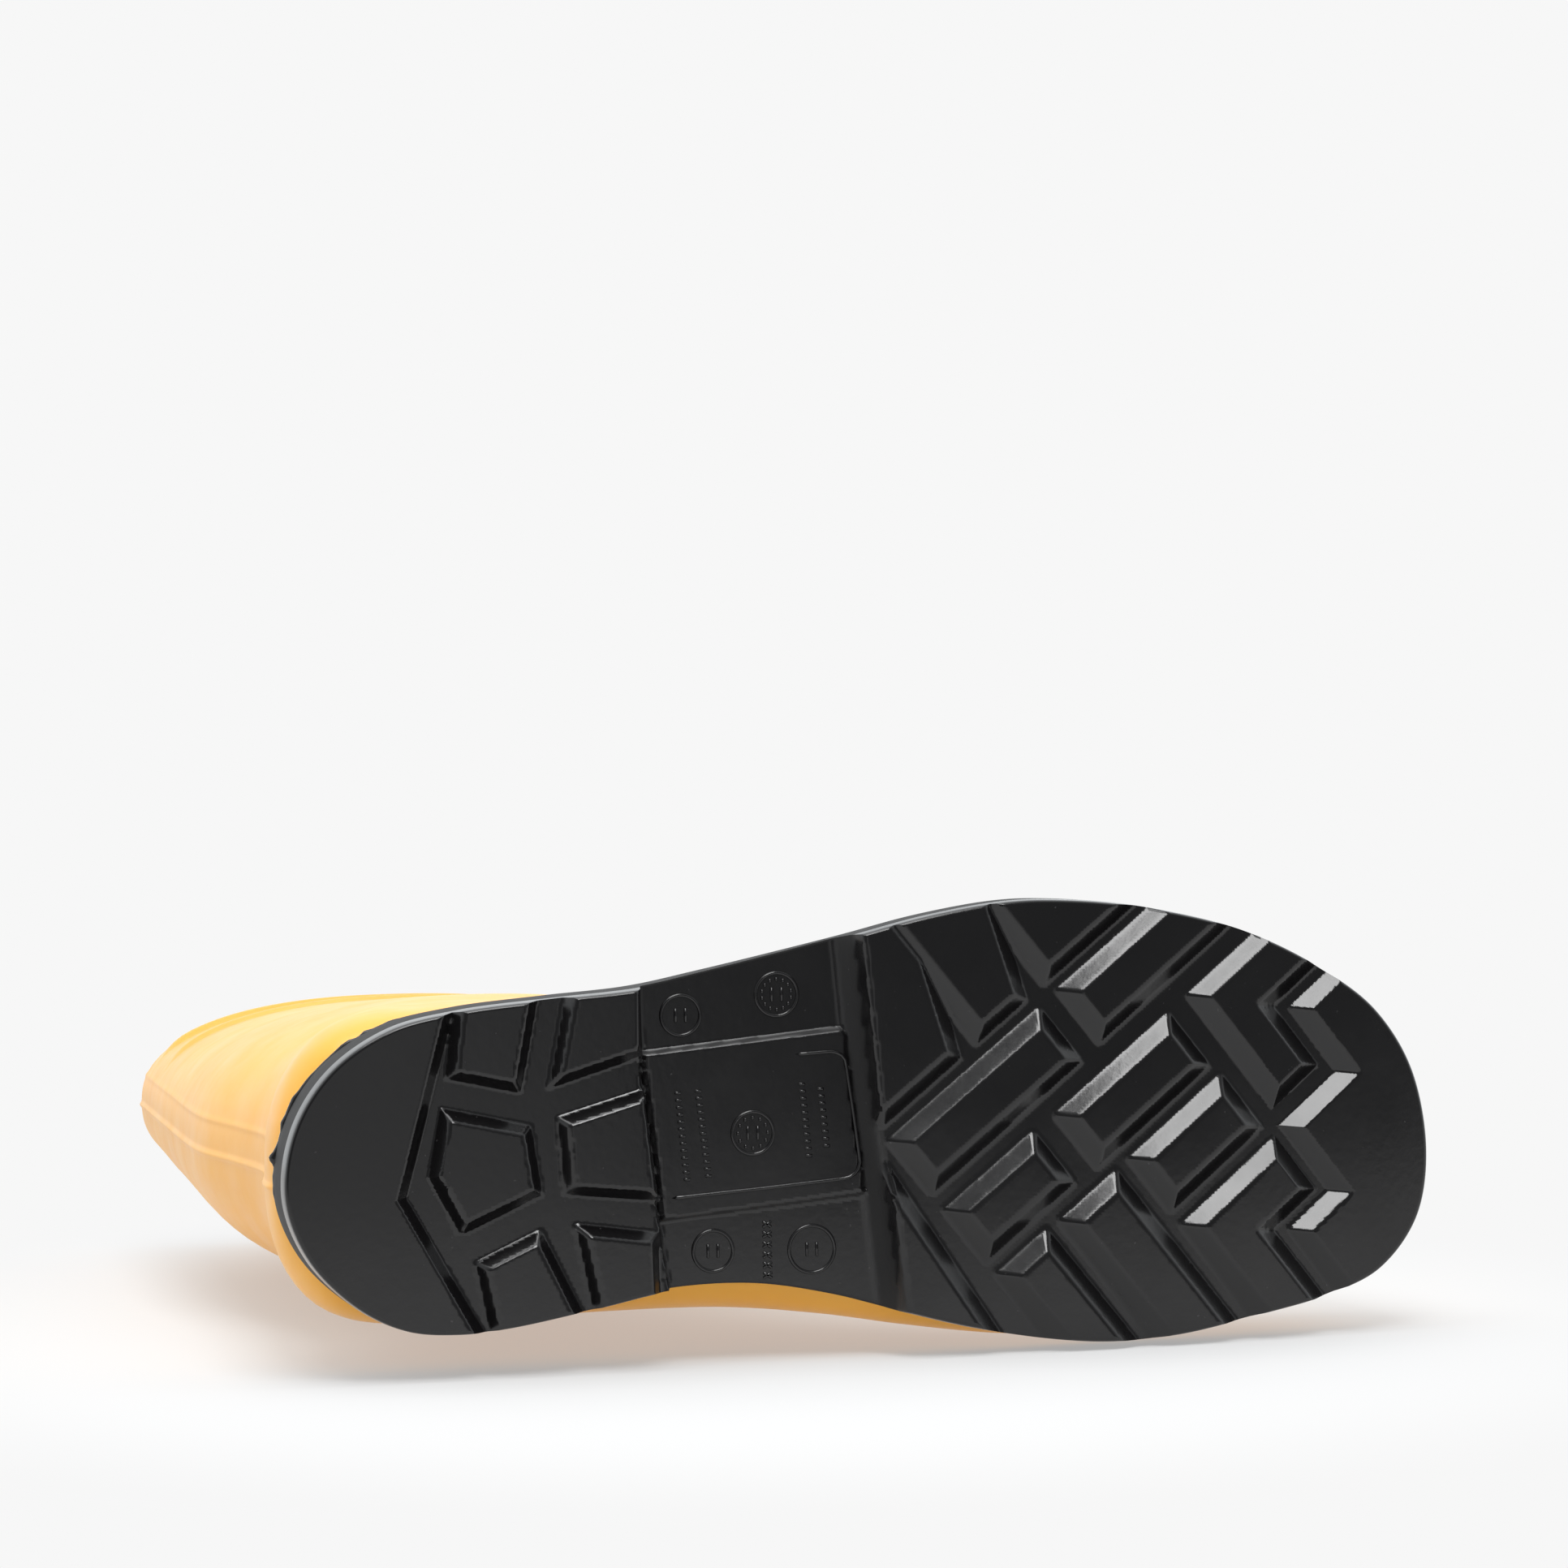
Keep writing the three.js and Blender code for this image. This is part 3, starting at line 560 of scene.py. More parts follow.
rim_outer = RIM_WIDTH / 2 + 0.5
RIM_BACK = 147.3
stations = np.array([  # back and front points, outer and inner side, widest level, squareness
    foot_station(150.5, 41, 12, 6, 2.6),
    foot_station(147.5, 49, 14, 6, 2.5),
    foot_station(141, 56, 15, 6, 2.4),
    foot_station(128, 62.5, 16, 7, 2.3),
    foot_station(108, 66.5, 17, 7, 2.2),
    foot_station(84, 71, 17, 7, 2.1),
    foot_station(60, 80, 18, 6.5, 2.1),
    foot_station(38, 94, 20, 5.5, 2.1, 3),
    [12, seat(12), 20, 112, -63.5, 41, 24, 4.6, 2.2],
    [-14, seat(-14), 14, 131, -58, 37.5, 28, 4.2, 2.3],
    [-42, seat(-42), 11, 149, -52.5, 35.5, 34, 4, 2.3],
    [-74, seat(-74), 9.5, 164, -48, 35.5, 42, 5.2, 2.3],
    [-106, seat(-106), 9, 176, -45.5, 36.5, 48, 5.8, 2.3],
    [-134, 24.5, 8.5, 185, -44.5, 37, 52, 4.4, 2.3],
    [-147.5, 32, 8.5, 192, -44, 37.5, 58, 3.2, 2.3],
    [-151, 49, 8.5, 199, -43.5, 38.5, 64, 2.6, 2.4],
    [-145.5, 92, 9, 207, -43.2, 39, 68, 2.4, 2.4],
    [-148.5, 132, 9.5, 222, -42, 39.2, 74, 2.4, 2.4],
    [-153, 178, 10.5, 246, -40.2, 38.4, 79, 2.4, 2.4],
    [-150.5, 280, 13, 308, -35.8, 34.8, 81, 2.4, 2.4],
    [-RIM_BACK, BOOT_HEIGHT, RIM_DEPTH - RIM_BACK, BOOT_HEIGHT, -rim_outer, RIM_WIDTH - rim_outer,
     RIM_DEPTH / 2, 2.4, 2.4],
])
LAST = len(stations) - 1
LEAST_SQUARE = 0.6       # limit for sections that slant to the wall
FINE_REACH, FINE_STEP = 14, 0.55      # near the back and front points, for the fine seams


def station_at(u):
    """Catmull-Rom through the values of four neighbouring stations."""
    first = np.clip(np.floor(u).astype(int), 0, LAST - 1)
    t = (u - first)[:, None]
    a, b, c, d = (stations[np.clip(first + k, 0, LAST)] for k in (-1, 0, 1, 2))
    return 0.5 * (2 * b + (c - a) * t + (2 * a - 5 * b + 4 * c - d) * t * t
                  + (3 * b - a - 3 * c + d) * t * t * t)


def squareness(u, column, axis):
    """How square a section stands to the wall at one end: 1 is at right angles."""
    slope = station_at(np.clip(u + 0.25, 0, LAST)) - station_at(np.clip(u - 0.25, 0, LAST))
    slope = slope[:, column:column + 2]
    slope = slope / np.linalg.norm(slope, axis=1, keepdims=True)
    return np.clip(np.abs(slope[:, 0] * axis[:, 1] - slope[:, 1] * axis[:, 0]), LEAST_SQUARE, 1)


def sections(u, side, bottom, top, columns):
    """Rings at stations u, drawn in by three insets: |x/half|^n + |t/reach|^n = 1 in each
    quarter, where n is the station's squareness and reach the length from its widest level."""
    s = station_at(u)
    back, front = s[:, 0:2], s[:, 2:4]
    axis = front - back
    length = np.linalg.norm(axis, axis=1)
    axis = axis / length[:, None]
    shift = side * ease(back[:, 0], DOME_START - DOME_RAMP, TOE_END)
    lower = (bottom / squareness(u, 0, axis))[:, None]
    upper = (length - top / squareness(u, 2, axis))[:, None]
    middle = ((s[:, 4] + s[:, 5]) / 2)[:, None]
    half = (s[:, 5] - s[:, 4]) / 2
    dome_half = (inner_edge(DOME_START) - outer_edge(DOME_START)) / 2 - SOLE_LEDGE
    in_dome = (half < dome_half) & (back[:, 0] > DOME_START)
    half = np.where(in_dome, half * (dome_half - side) / dome_half, half - side)[:, None]
    angle = np.linspace(0, 2 * math.pi, 1441)[None]
    c, sine = -np.cos(angle), np.sin(angle)
    n = np.where(c < 0, s[:, 7:8], s[:, 8:9])
    reach = np.sign(c) * np.abs(c) ** (2 / n)
    low = s[:, 6:7]
    at = low + reach * np.where(c < 0, low - lower, upper - low)
    across = middle - np.sign(sine) * half * np.abs(sine) ** (2 / n)
    place = back[:, None] + axis[:, None] * at[..., None]
    ring = np.stack([across, place[..., 0] - shift[:, None], place[..., 1]], -1)
    return np.array([along_ring(r, columns) for r in ring])


def along_ring(ring, columns):
    """Points of one ring, close together near its back and front points and even between."""
    length = np.concatenate([[0], np.cumsum(np.linalg.norm(np.diff(ring, axis=0), axis=1))])
    total = length[-1]
    half = total / 2
    fine = np.arange(0, FINE_REACH, FINE_STEP) * min(1, half / 60)
    room = np.linspace(fine[-1], half - fine[-1], columns)[1:-1]
    side = np.concatenate([fine, room, half - fine[::-1]])
    at = np.concatenate([side, total - side[::-1][1:-1]])
    return np.stack([np.interp(at, length, ring[:, k]) for k in range(3)], -1)


print(len(stations), "stations")

# %% [markdown]
# On the smooth loft sit the mould's own marks: the parting line down the back and the front, a
# finer line beside it, two ribs near the rim where the shaft can be cut shorter, and the step
# of the toe over its steel cap. Each is a small push along the surface's normal, as a function
# of the distance to the mark.

# %% Upper
RIBS = ((371, 1.6, 3.0), (333, 1.3, 3.0))      # height, proud by, half width


def hump(distance, width):
    """A smooth bump of height 1: exp(-(distance / width)^2)."""
    return np.exp(-(distance / width) ** 2)


def relief(points):
    """How far the moulded marks stand proud of the loft at each point."""
    across, forward, up = points[..., 0], points[..., 1], points[..., 2]
    behind = ease(-forward, 100, 120) * ease(up, 34, 44)
    raised = 0.7 * hump(across, 0.8) * behind
    raised += 0.3 * hump(across + 9.6, 0.8) * behind * ease(up, 60, 90)
    in_front = ease(forward, -20, 0)
    middle = -1 - 11 * ease(forward, 20, 70)
    top_side = ease(up - seat(forward), 30, 38)
    raised += 0.3 * hump(across - middle, 0.8) * in_front * top_side
    for height, proud, width in RIBS:
        clear_of_back = 1 - behind * (1 - ease(np.abs(across), 14, 22))
        tilt = 0.03 * (forward + 70)
        raised += proud * np.exp(-((up - height - tilt) / width) ** 4) * clear_of_back
    raised += 0.7 * ease(forward, 98, 103) * ease(up - seat(forward), 10, 18)
    return raised


def make_upper():
    """Toe pole, outer skin, rounded rim, inner skin, toe pole: one closed surface. The sections
    crowd at the toe and at the ribs near the rim."""
    u = np.concatenate([np.linspace(0, 1, 9)[:-1], np.linspace(1, 18, 120)[:-1],
                        np.linspace(18, 19, 22)[:-1], np.linspace(19, LAST, 95)])
    outer = sections(u, 0.0, 0.0, 0.0, 54)
    normal = normals_of(placed(outer))
    sign = np.sign(np.sum(normal * (placed(outer) - placed(outer).mean(1, keepdims=True))))
    push = relief(outer)[..., None] * normal * sign
    skin = placed(outer) + push
    inner_u = np.concatenate([[LAST], np.linspace(LAST, 0, 90)])
    inner = placed(sections(inner_u, UPPER_WALL, UPPER_WALL, UPPER_WALL, 54))
    rim_low = BOOT_HEIGHT - UPPER_WALL / 2
    over = skin[..., 2] - rim_low
    skin[..., 2] -= 0.8 * np.clip(over, 0, None)
    inner[..., 2] = np.minimum(inner[..., 2], rim_low)
    turn = np.linspace(0, math.pi, 9)[1:-1, None, None]
    edge_out, edge_in = skin[-1], inner[0]
    middle, half = (edge_out + edge_in) / 2, (edge_out - edge_in) / 2
    bead_rows = middle + half * np.cos(turn)
    bead_rows[..., 2] = rim_low + UPPER_WALL / 2 * np.sin(turn[..., 0])
    nose = toe_pole(skin[0], bulge=1.1)
    tip = toe_pole(inner[-1], bulge=1.2)
    return surface("moulded_upper", np.concatenate([nose, skin, bead_rows, inner, tip[::-1]]))


def toe_pole(ring, bulge):
    """Rings that shrink to a point and swell forwards: a flat dome over the last section."""
    centre = ring.mean(0)
    angle = np.linspace(0, math.pi / 2, 9)[:-1, None, None]
    rings = centre + (ring - centre) * np.sin(angle)
    rings[..., 1] -= bulge * np.cos(angle[..., 0])
    return rings


upper = make_upper()

# %% [markdown]
# Inside, the yellow moulding is lined by a knitted sock, which the plastic was moulded onto.
# It is the same loft drawn in by the wall, with room left for the steel cap in the toe and the
# plates underfoot. Its grid carries a map in real millimetres, so the knit's ribs run up the leg.

# %% Lining sock
GAP = 0.3
CAP_WALL, CAP_LENGTH, TRIM_WIDTH = 1.8, 48, 8
LINING_WALL = 1.2
CAP_STEP = (22, 4)       # the sock steps in for the cap between these, behind the strip
PLATE_STEP = (12, 50)    # and out again over the plates between these, up the heel
CAP_REAR = TOE_END - CAP_LENGTH
PLATES = 0.8 + 1.5 + 2 * GAP     # steel midsole and insole board


def lining_sections(u, extra, columns):
    """The loft drawn in by the wall, plus room for the cap ahead and the plates below."""
    s = station_at(u)
    toe = ease(s[:, 2], *(CAP_REAR - TRIM_WIDTH - distance for distance in CAP_STEP))
    heel = 1 - ease(s[:, 1], *(HEEL_SEAT + height for height in PLATE_STEP))
    room = UPPER_WALL + GAP + extra
    side = room + toe * (CAP_WALL + 2 * GAP)
    return sections(u, side, room + heel * PLATES, side, columns)


def make_lining():
    """Outer face, rolled top edge and inner face of the sock, closed at the toe."""
    u = np.concatenate([np.linspace(0, 18, 110)[:-1], np.linspace(18, LAST, 40)])
    outer = lining_sections(u, 0, 40)
    inner = lining_sections(u[::-1], LINING_WALL, 40)
    top = BOOT_HEIGHT - LINING_WALL
    outer[..., 2] = np.minimum(outer[..., 2], top)
    inner[..., 2] = np.minimum(inner[..., 2], top)
    grid = np.concatenate([toe_pole_forward(outer[0]), outer, inner, toe_pole_forward(inner[-1])[::-1]])
    step = np.linalg.norm(np.diff(grid, axis=0), axis=-1).mean(1)
    down = np.concatenate([[0], np.cumsum(step)])
    round_step = np.linalg.norm(np.roll(grid, -1, 1) - grid, axis=-1)
    around = np.cumsum(round_step, axis=1)
    uv = np.stack([around, np.repeat(down[:, None], grid.shape[1], 1)], -1) * MM
    return surface("knitted_lining", placed(grid), uv=uv)


def toe_pole_forward(ring):
    """A flat end over the last section: rings that shrink to its middle."""
    centre = ring.mean(0)
    share = np.linspace(0, 1, 6)[:-1, None, None]
    return centre + (ring - centre) * share


lining = make_lining()

# %% [markdown]
# The footbed is a loose padded insock: felt under a woven top cloth. Its plan comes from the
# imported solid, slice by slice, so it stays clear of the sock. Each slice is a rounded slab, and
# the slab closes smoothly at both ends.

# %% Footbed
END_ROOM, SIDE_ROOM, FACE_ROOM = 0.4, 0.3, 0.12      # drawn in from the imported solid
SLICES, AROUND = 150, 120


def plan_of(node, forward):
    """Sides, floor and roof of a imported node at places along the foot, from its crossing edges."""
    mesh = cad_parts[node].data
    co = np.zeros(len(mesh.vertices) * 3)
    mesh.vertices.foreach_get("co", co)
    co = co.reshape(-1, 3) / MM
    ends = np.zeros(len(mesh.edges) * 2, int)
    mesh.edges.foreach_get("vertices", ends)
    a, b = co[ends.reshape(-1, 2)].transpose(1, 0, 2)
    y = centre_y - forward[:, None]
    cross = (a[:, 1] - y) * (b[:, 1] - y) < 0
    t = (y - a[:, 1]) / np.where(a[:, 1] == b[:, 1], 1, b[:, 1] - a[:, 1])
    x = a[:, 0] + t * (b[:, 0] - a[:, 0])
    low = np.where(cross, x, 1e9).min(1)
    high = np.where(cross, x, -1e9).max(1)
    z = a[:, 2] + t * (b[:, 2] - a[:, 2])
    floor = np.where(cross, z, 1e9).min(1)
    roof = np.where(cross, z, -1e9).max(1)
    return low - centre_x, high - centre_x, floor, roof


def smooth(values, width=7):
    """Running mean with its ends held."""
    padded = np.pad(values, width // 2, mode="edge")
    return np.convolve(padded, np.ones(width) / width, mode="valid")


def make_footbed():
    """Rounded slabs across the foot: each is a superellipse, and its thickness ends smoothly."""
    low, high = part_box("footbed")
    rear, front = centre_y - high.y / MM + END_ROOM, centre_y - low.y / MM - END_ROOM
    t = np.linspace(0, math.pi, SLICES)
    forward = (rear + front) / 2 - (front - rear) / 2 * np.cos(t)
    left, right, floor, roof = (smooth(v) for v in plan_of("footbed", forward))
    middle = (left + right) / 2
    half = (right - left) / 2 - SIDE_ROOM
    thick = (roof - floor) / 2 - FACE_ROOM
    centre = (roof + floor) / 2
    around = np.linspace(0, 2 * math.pi, AROUND, endpoint=False)
    c, s = np.cos(around), np.sin(around)
    end = np.sin(t) ** 0.25
    across = middle[:, None] + half[:, None] * np.sign(c) * np.abs(c) ** 0.55
    up = centre[:, None] + (thick * end)[:, None] * np.sign(s) * np.abs(s) ** 0.4
    points = np.stack([across, np.repeat(forward[:, None], AROUND, 1), up], -1)
    points[0] = points[0].mean(0)
    points[-1] = points[-1].mean(0)
    uv = np.stack([across, points[..., 1]], -1) * MM
    return surface("padded_footbed", placed(points), uv=uv)


footbed = make_footbed()

# %% [markdown]
# Where the black sole met the yellow upper in the mould, a little black compound squeezed out
# at the back of the heel. It is a thin ragged lip against the upper, with one torn nub.

# %% Moulding flash
FLASH_FRONT, FLASH_INNER = -118, 4       # it runs round the outer back of the heel up to these


def make_flash():
    """A thin strip along the foot of the wall's shoulder, its free edge ragged by seeded steps."""
    random = np.random.default_rng(7)
    edge, spine = perimeter()
    outward = outward_of(edge, spine)
    pick = (edge[:, 1] < FLASH_FRONT) & (edge[:, 0] < FLASH_INNER)
    edge, outward = edge[pick], outward[pick]
    count = len(edge)
    ends = np.sin(np.linspace(0, math.pi, count)) ** 0.4
    every_third = np.arange(0, count, 3)
    rough = np.interp(np.arange(count), every_third, random.random(len(every_third)))
    reach = (0.35 + 0.9 * rough) * ends
    nub = hump(edge[:, 0] + 9, 1.4)
    reach = reach + 1.6 * nub
    low = HEEL_WALL * SHOULDER - 1.2
    profile = ((-0.6, low), (0.5, low + 0.2), (1, low + 0.7), (1, low + 1.2), (0.5, low + 1.7),
               (-0.6, low + 2.2))
    base = wall_offset(np.full(count, low), HEEL_WALL)
    rows = []
    for share, height in profile:
        off = base - 0.4 + np.maximum(share, 0) * reach
        off = np.where(share < 0, base - 1.2, off)
        rows.append(np.concatenate([edge + outward * off[:, None],
                                    np.full((count, 1), height)], -1))
    grid = np.array(rows).transpose(1, 0, 2)
    grid = np.concatenate([grid[:1].mean(1, keepdims=True).repeat(6, 1), grid,
                           grid[-1:].mean(1, keepdims=True).repeat(6, 1)])
    return surface("heel_flash", placed(grid))


flash = make_flash()

# %% [markdown]
# Materials. Each is named for the real stuff and starts from its usual values. Colours are
# given as sRGB hex and turned to linear by one function, and one function adds any node.

# %% Material helpers


def linear(code):
    """sRGB hex to linear RGBA: the standard's straight piece near black and its power above."""
    value = np.array([int(code[i:i + 2], 16) for i in (1, 3, 5)]) / 255
    value = np.where(value <= 0.04045, value / 12.92, ((value + 0.055) / 1.055) ** 2.4)
    return (*value.tolist(), 1.0)


def add(material, kind, settings=None, links=None):
    """Adds a node, sets its properties and sockets by name, and links its inputs."""
    tree = material.node_tree
    node = tree.nodes.new(kind)
    for name, value in (settings or {}).items():
        if name in node.inputs:
            node.inputs[name].default_value = value
        else:
            setattr(node, name, value)
    for name, source in (links or {}).items():
        tree.links.new(source, node.inputs[name])
    return node


def new_material(name):
    """An empty node material with its shader and output, and its Object coordinates."""
    material = bpy.data.materials.new(name)
    material.use_nodes = True
    material.node_tree.nodes.clear()
    shader = add(material, "ShaderNodeBsdfPrincipled")
    add(material, "ShaderNodeOutputMaterial", links={"Surface": shader.outputs[0]})
    place = add(material, "ShaderNodeTexCoord")
    return material, shader, place


def noise(material, place, per_metre, detail=2.0, roughness=0.5):
    """Fractal noise on a place output, with so many cells to the metre."""
    return add(material, "ShaderNodeTexNoise",
               {"Scale": per_metre, "Detail": detail, "Roughness": roughness}, {"Vector": place})


def ramp(material, source, low, high, first, second):
    """Maps low..high of a value to a run between two colours."""
    node = add(material, "ShaderNodeValToRGB", links={"Fac": source})
    node.color_ramp.elements[0].position = low
    node.color_ramp.elements[1].position = high
    node.color_ramp.elements[0].color = first
    node.color_ramp.elements[1].color = second
    return node


def blend(material, factor, first, second):
    """Mixes a colour output into a second, fixed colour by a factor output."""
    node = add(material, "ShaderNodeMix", {"data_type": "RGBA"})
    material.node_tree.links.new(factor, node.inputs[0])
    material.node_tree.links.new(first, node.inputs[6])
    node.inputs[7].default_value = second
    return node.outputs[2]


def bands(material, vector, direction, period, **settings):
    """A sine wave along one axis. The node turns by 20 x scale x length, so for a period of P
    metres its scale is 2 pi / (20 P). The period here is in millimetres."""
    settings |= {"Scale": 2 * math.pi / 20 / (period * MM), "bands_direction": direction}
    return add(material, "ShaderNodeTexWave", settings, {"Vector": vector}).outputs["Fac"]


def combine(material, operation, first, second):
    """One arithmetic operation on two outputs."""
    node = add(material, "ShaderNodeMath", {"operation": operation})
    material.node_tree.links.new(first, node.inputs[0])
    material.node_tree.links.new(second, node.inputs[1])
    return node.outputs[0]


def raise_bumps(material, shader, height, strength, depth):
    """Tilts the shader's normal by the slope of a height output, to a depth in millimetres."""
    settings = {"Strength": strength, "Distance": depth * MM}
    node = add(material, "ShaderNodeBump", settings, {"Height": height})
    material.node_tree.links.new(node.outputs["Normal"], shader.inputs["Normal"])


def grey(value):
    """A neutral colour of that linear value."""
    return (value, value, value, 1.0)


# %% [markdown]
# Moulded PVC, yellow: plasticised vinyl takes the mould's satin polish. It is slightly
# translucent, so its shadows stay warm, and it has a faint orange-peel a millimetre or so wide.


# %% Moulded yellow PVC
def moulded_yellow_pvc():
    material, shader, place = new_material("moulded_yellow_pvc")
    link = material.node_tree.links.new
    cloud = noise(material, place.outputs["Object"], 22, 3)
    colour = ramp(material, cloud.outputs["Fac"], 0.35, 0.7, linear("#F1AC36"), linear("#F5B342"))
    link(colour.outputs["Color"], shader.inputs["Base Color"])
    smear = noise(material, place.outputs["Object"], 60, 4, 0.6)
    gloss = ramp(material, smear.outputs["Fac"], 0.3, 0.75, grey(0.30), grey(0.42))
    link(gloss.outputs["Color"], shader.inputs["Roughness"])
    shader.inputs["IOR"].default_value = 1.53
    shader.inputs["Subsurface Weight"].default_value = 0.12
    shader.inputs["Subsurface Radius"].default_value = (1.0, 0.55, 0.12)
    shader.inputs["Subsurface Scale"].default_value = 0.004
    peel = noise(material, place.outputs["Object"], 700, 2)
    raise_bumps(material, shader, peel.outputs["Fac"], 0.05, 0.4)
    return material


# %% [markdown]
# Moulded PVC, black: the same vinyl with carbon black, glossier because the sole's mould is
# polished. Handling leaves faint dull smears and a few pale specks of dust and scuffs. The
# upper part of the side wall is rough.


# %% Moulded black PVC
def moulded_black_pvc():
    material, shader, place = new_material("moulded_black_pvc")
    link = material.node_tree.links.new
    smear = noise(material, place.outputs["Object"], 35, 5, 0.62)
    gloss = ramp(material, smear.outputs["Fac"], 0.3, 0.75, grey(0.14), grey(0.25))
    wall = add(material, "ShaderNodeAttribute", {"attribute_name": "rough_wall"})
    dull = blend(material, wall.outputs["Fac"], gloss.outputs["Color"], grey(0.72))
    link(dull, shader.inputs["Roughness"])
    speck = noise(material, place.outputs["Object"], 900, 1)
    dust = ramp(material, speck.outputs["Fac"], 0.77, 0.82, linear("#0D0C0D"), linear("#333233"))
    link(dust.outputs["Color"], shader.inputs["Base Color"])
    shader.inputs["IOR"].default_value = 1.53
    grain = noise(material, place.outputs["Object"], 420, 3)
    raise_bumps(material, shader, grain.outputs["Fac"], 0.06, 0.4)
    return material


# %% [markdown]
# Knitted polyester sock: columns of loops about 1.6 mm wide. The pattern reads the sock's own
# map, so it follows the leg. Real loops are finer; they are drawn this coarse to show.


# %% Knitted polyester
def knitted_polyester():
    material, shader, place = new_material("knitted_polyester")
    link = material.node_tree.links.new
    cloth = add(material, "ShaderNodeUVMap", {"uv_map": "cloth"}).outputs["UV"]
    wales = bands(material, cloth, "X", 1.6, Distortion=0.6, Detail=1.0)
    loops = combine(material, "MULTIPLY", wales, bands(material, cloth, "Y", 1.2))
    colour = ramp(material, loops, 0.0, 0.9, linear("#8F8B80"), linear("#E4E0D4"))
    link(colour.outputs["Color"], shader.inputs["Base Color"])
    shader.inputs["Roughness"].default_value = 0.92
    shader.inputs["Sheen Weight"].default_value = 0.25
    raise_bumps(material, shader, loops, 0.6, 0.5)
    return material


# %% [markdown]
# The footbed's top cloth is a plain weave over felt, and the hidden pieces are what they are in
# such a boot: cold-rolled plate, a forged and painted cap, fibre board, foam and soft rubber.


# %% Footbed cloth and hidden pieces
def woven_felt():
    material, shader, place = new_material("woven_top_felt")
    link = material.node_tree.links.new
    cloth = add(material, "ShaderNodeUVMap", {"uv_map": "cloth"}).outputs["UV"]
    warp, weft = (bands(material, cloth, direction, 1.5) for direction in "XY")
    weave = combine(material, "MAXIMUM", warp, weft)
    colour = ramp(material, weave, 0.3, 1.0, linear("#2C2E31"), linear("#5E6268"))
    link(colour.outputs["Color"], shader.inputs["Base Color"])
    shader.inputs["Roughness"].default_value = 0.95
    raise_bumps(material, shader, weave, 0.5, 0.4)
    return material


def mottled(name, first, second, per_metre, roughness, metallic=0.0, bump_depth=0.2):
    """A material of two close colours in fractal patches, with a matching bump."""
    material, shader, place = new_material(name)
    link = material.node_tree.links.new
    patch = noise(material, place.outputs["Object"], per_metre, 4)
    colour = ramp(material, patch.outputs["Fac"], 0.35, 0.65, linear(first), linear(second))
    link(colour.outputs["Color"], shader.inputs["Base Color"])
    shader.inputs["Roughness"].default_value = roughness
    shader.inputs["Metallic"].default_value = metallic
    raise_bumps(material, shader, patch.outputs["Fac"], 0.3, bump_depth)
    return material


yellow_pvc = moulded_yellow_pvc()
black_pvc = moulded_black_pvc()
knit = knitted_polyester()
felt = woven_felt()
inner_finishes = {
    "toe_cap": mottled("painted_pressed_steel", "#4A4D50", "#5C6064", 90, 0.42, 0.6),
    "toe_cap_edge_trim": mottled("soft_moulded_rubber", "#1E1E1E", "#2A2A2A", 300, 0.7),
    "steel_midsole": mottled("cold_rolled_stainless", "#A9ACAF", "#C2C5C7", 160, 0.32, 1.0),
    "insole_board": mottled("pressed_fibre_board", "#8A7658", "#A08B6A", 500, 0.93),
    "heel_core": mottled("foamed_pvc_core", "#3C3E40", "#54575A", 650, 0.9, 0.0, 0.5),
}
for node, material in inner_finishes.items():
    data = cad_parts[node].data
    data.materials.clear()
    data.materials.append(material)
for piece, material in ((outsole, black_pvc), (marks, black_pvc), (flash, black_pvc),
                        (upper, yellow_pvc), (lining, knit), (footbed, felt)):
    piece.data.materials.append(material)
print(len(inner_finishes) + 4, "materials")

# %% [markdown]
# A plain pale floor stands under the boot as it lies, on its inner side, so it is an upright
# plane in this frame. It is matt paper near the boot, and further off it turns into the even
# tone of the backdrop, so no horizon shows. Seen from behind it is clear. The key softbox
# stands where the lugs' upper flanks mirror it, with one of its edges across the tread, so the
# flanks near the waist stay dark. A second is overhead, and pale walls do the rest.

# %% Floor and light
FLOOR_X = 0.0592
BACKDROP = "#F7F7F7"


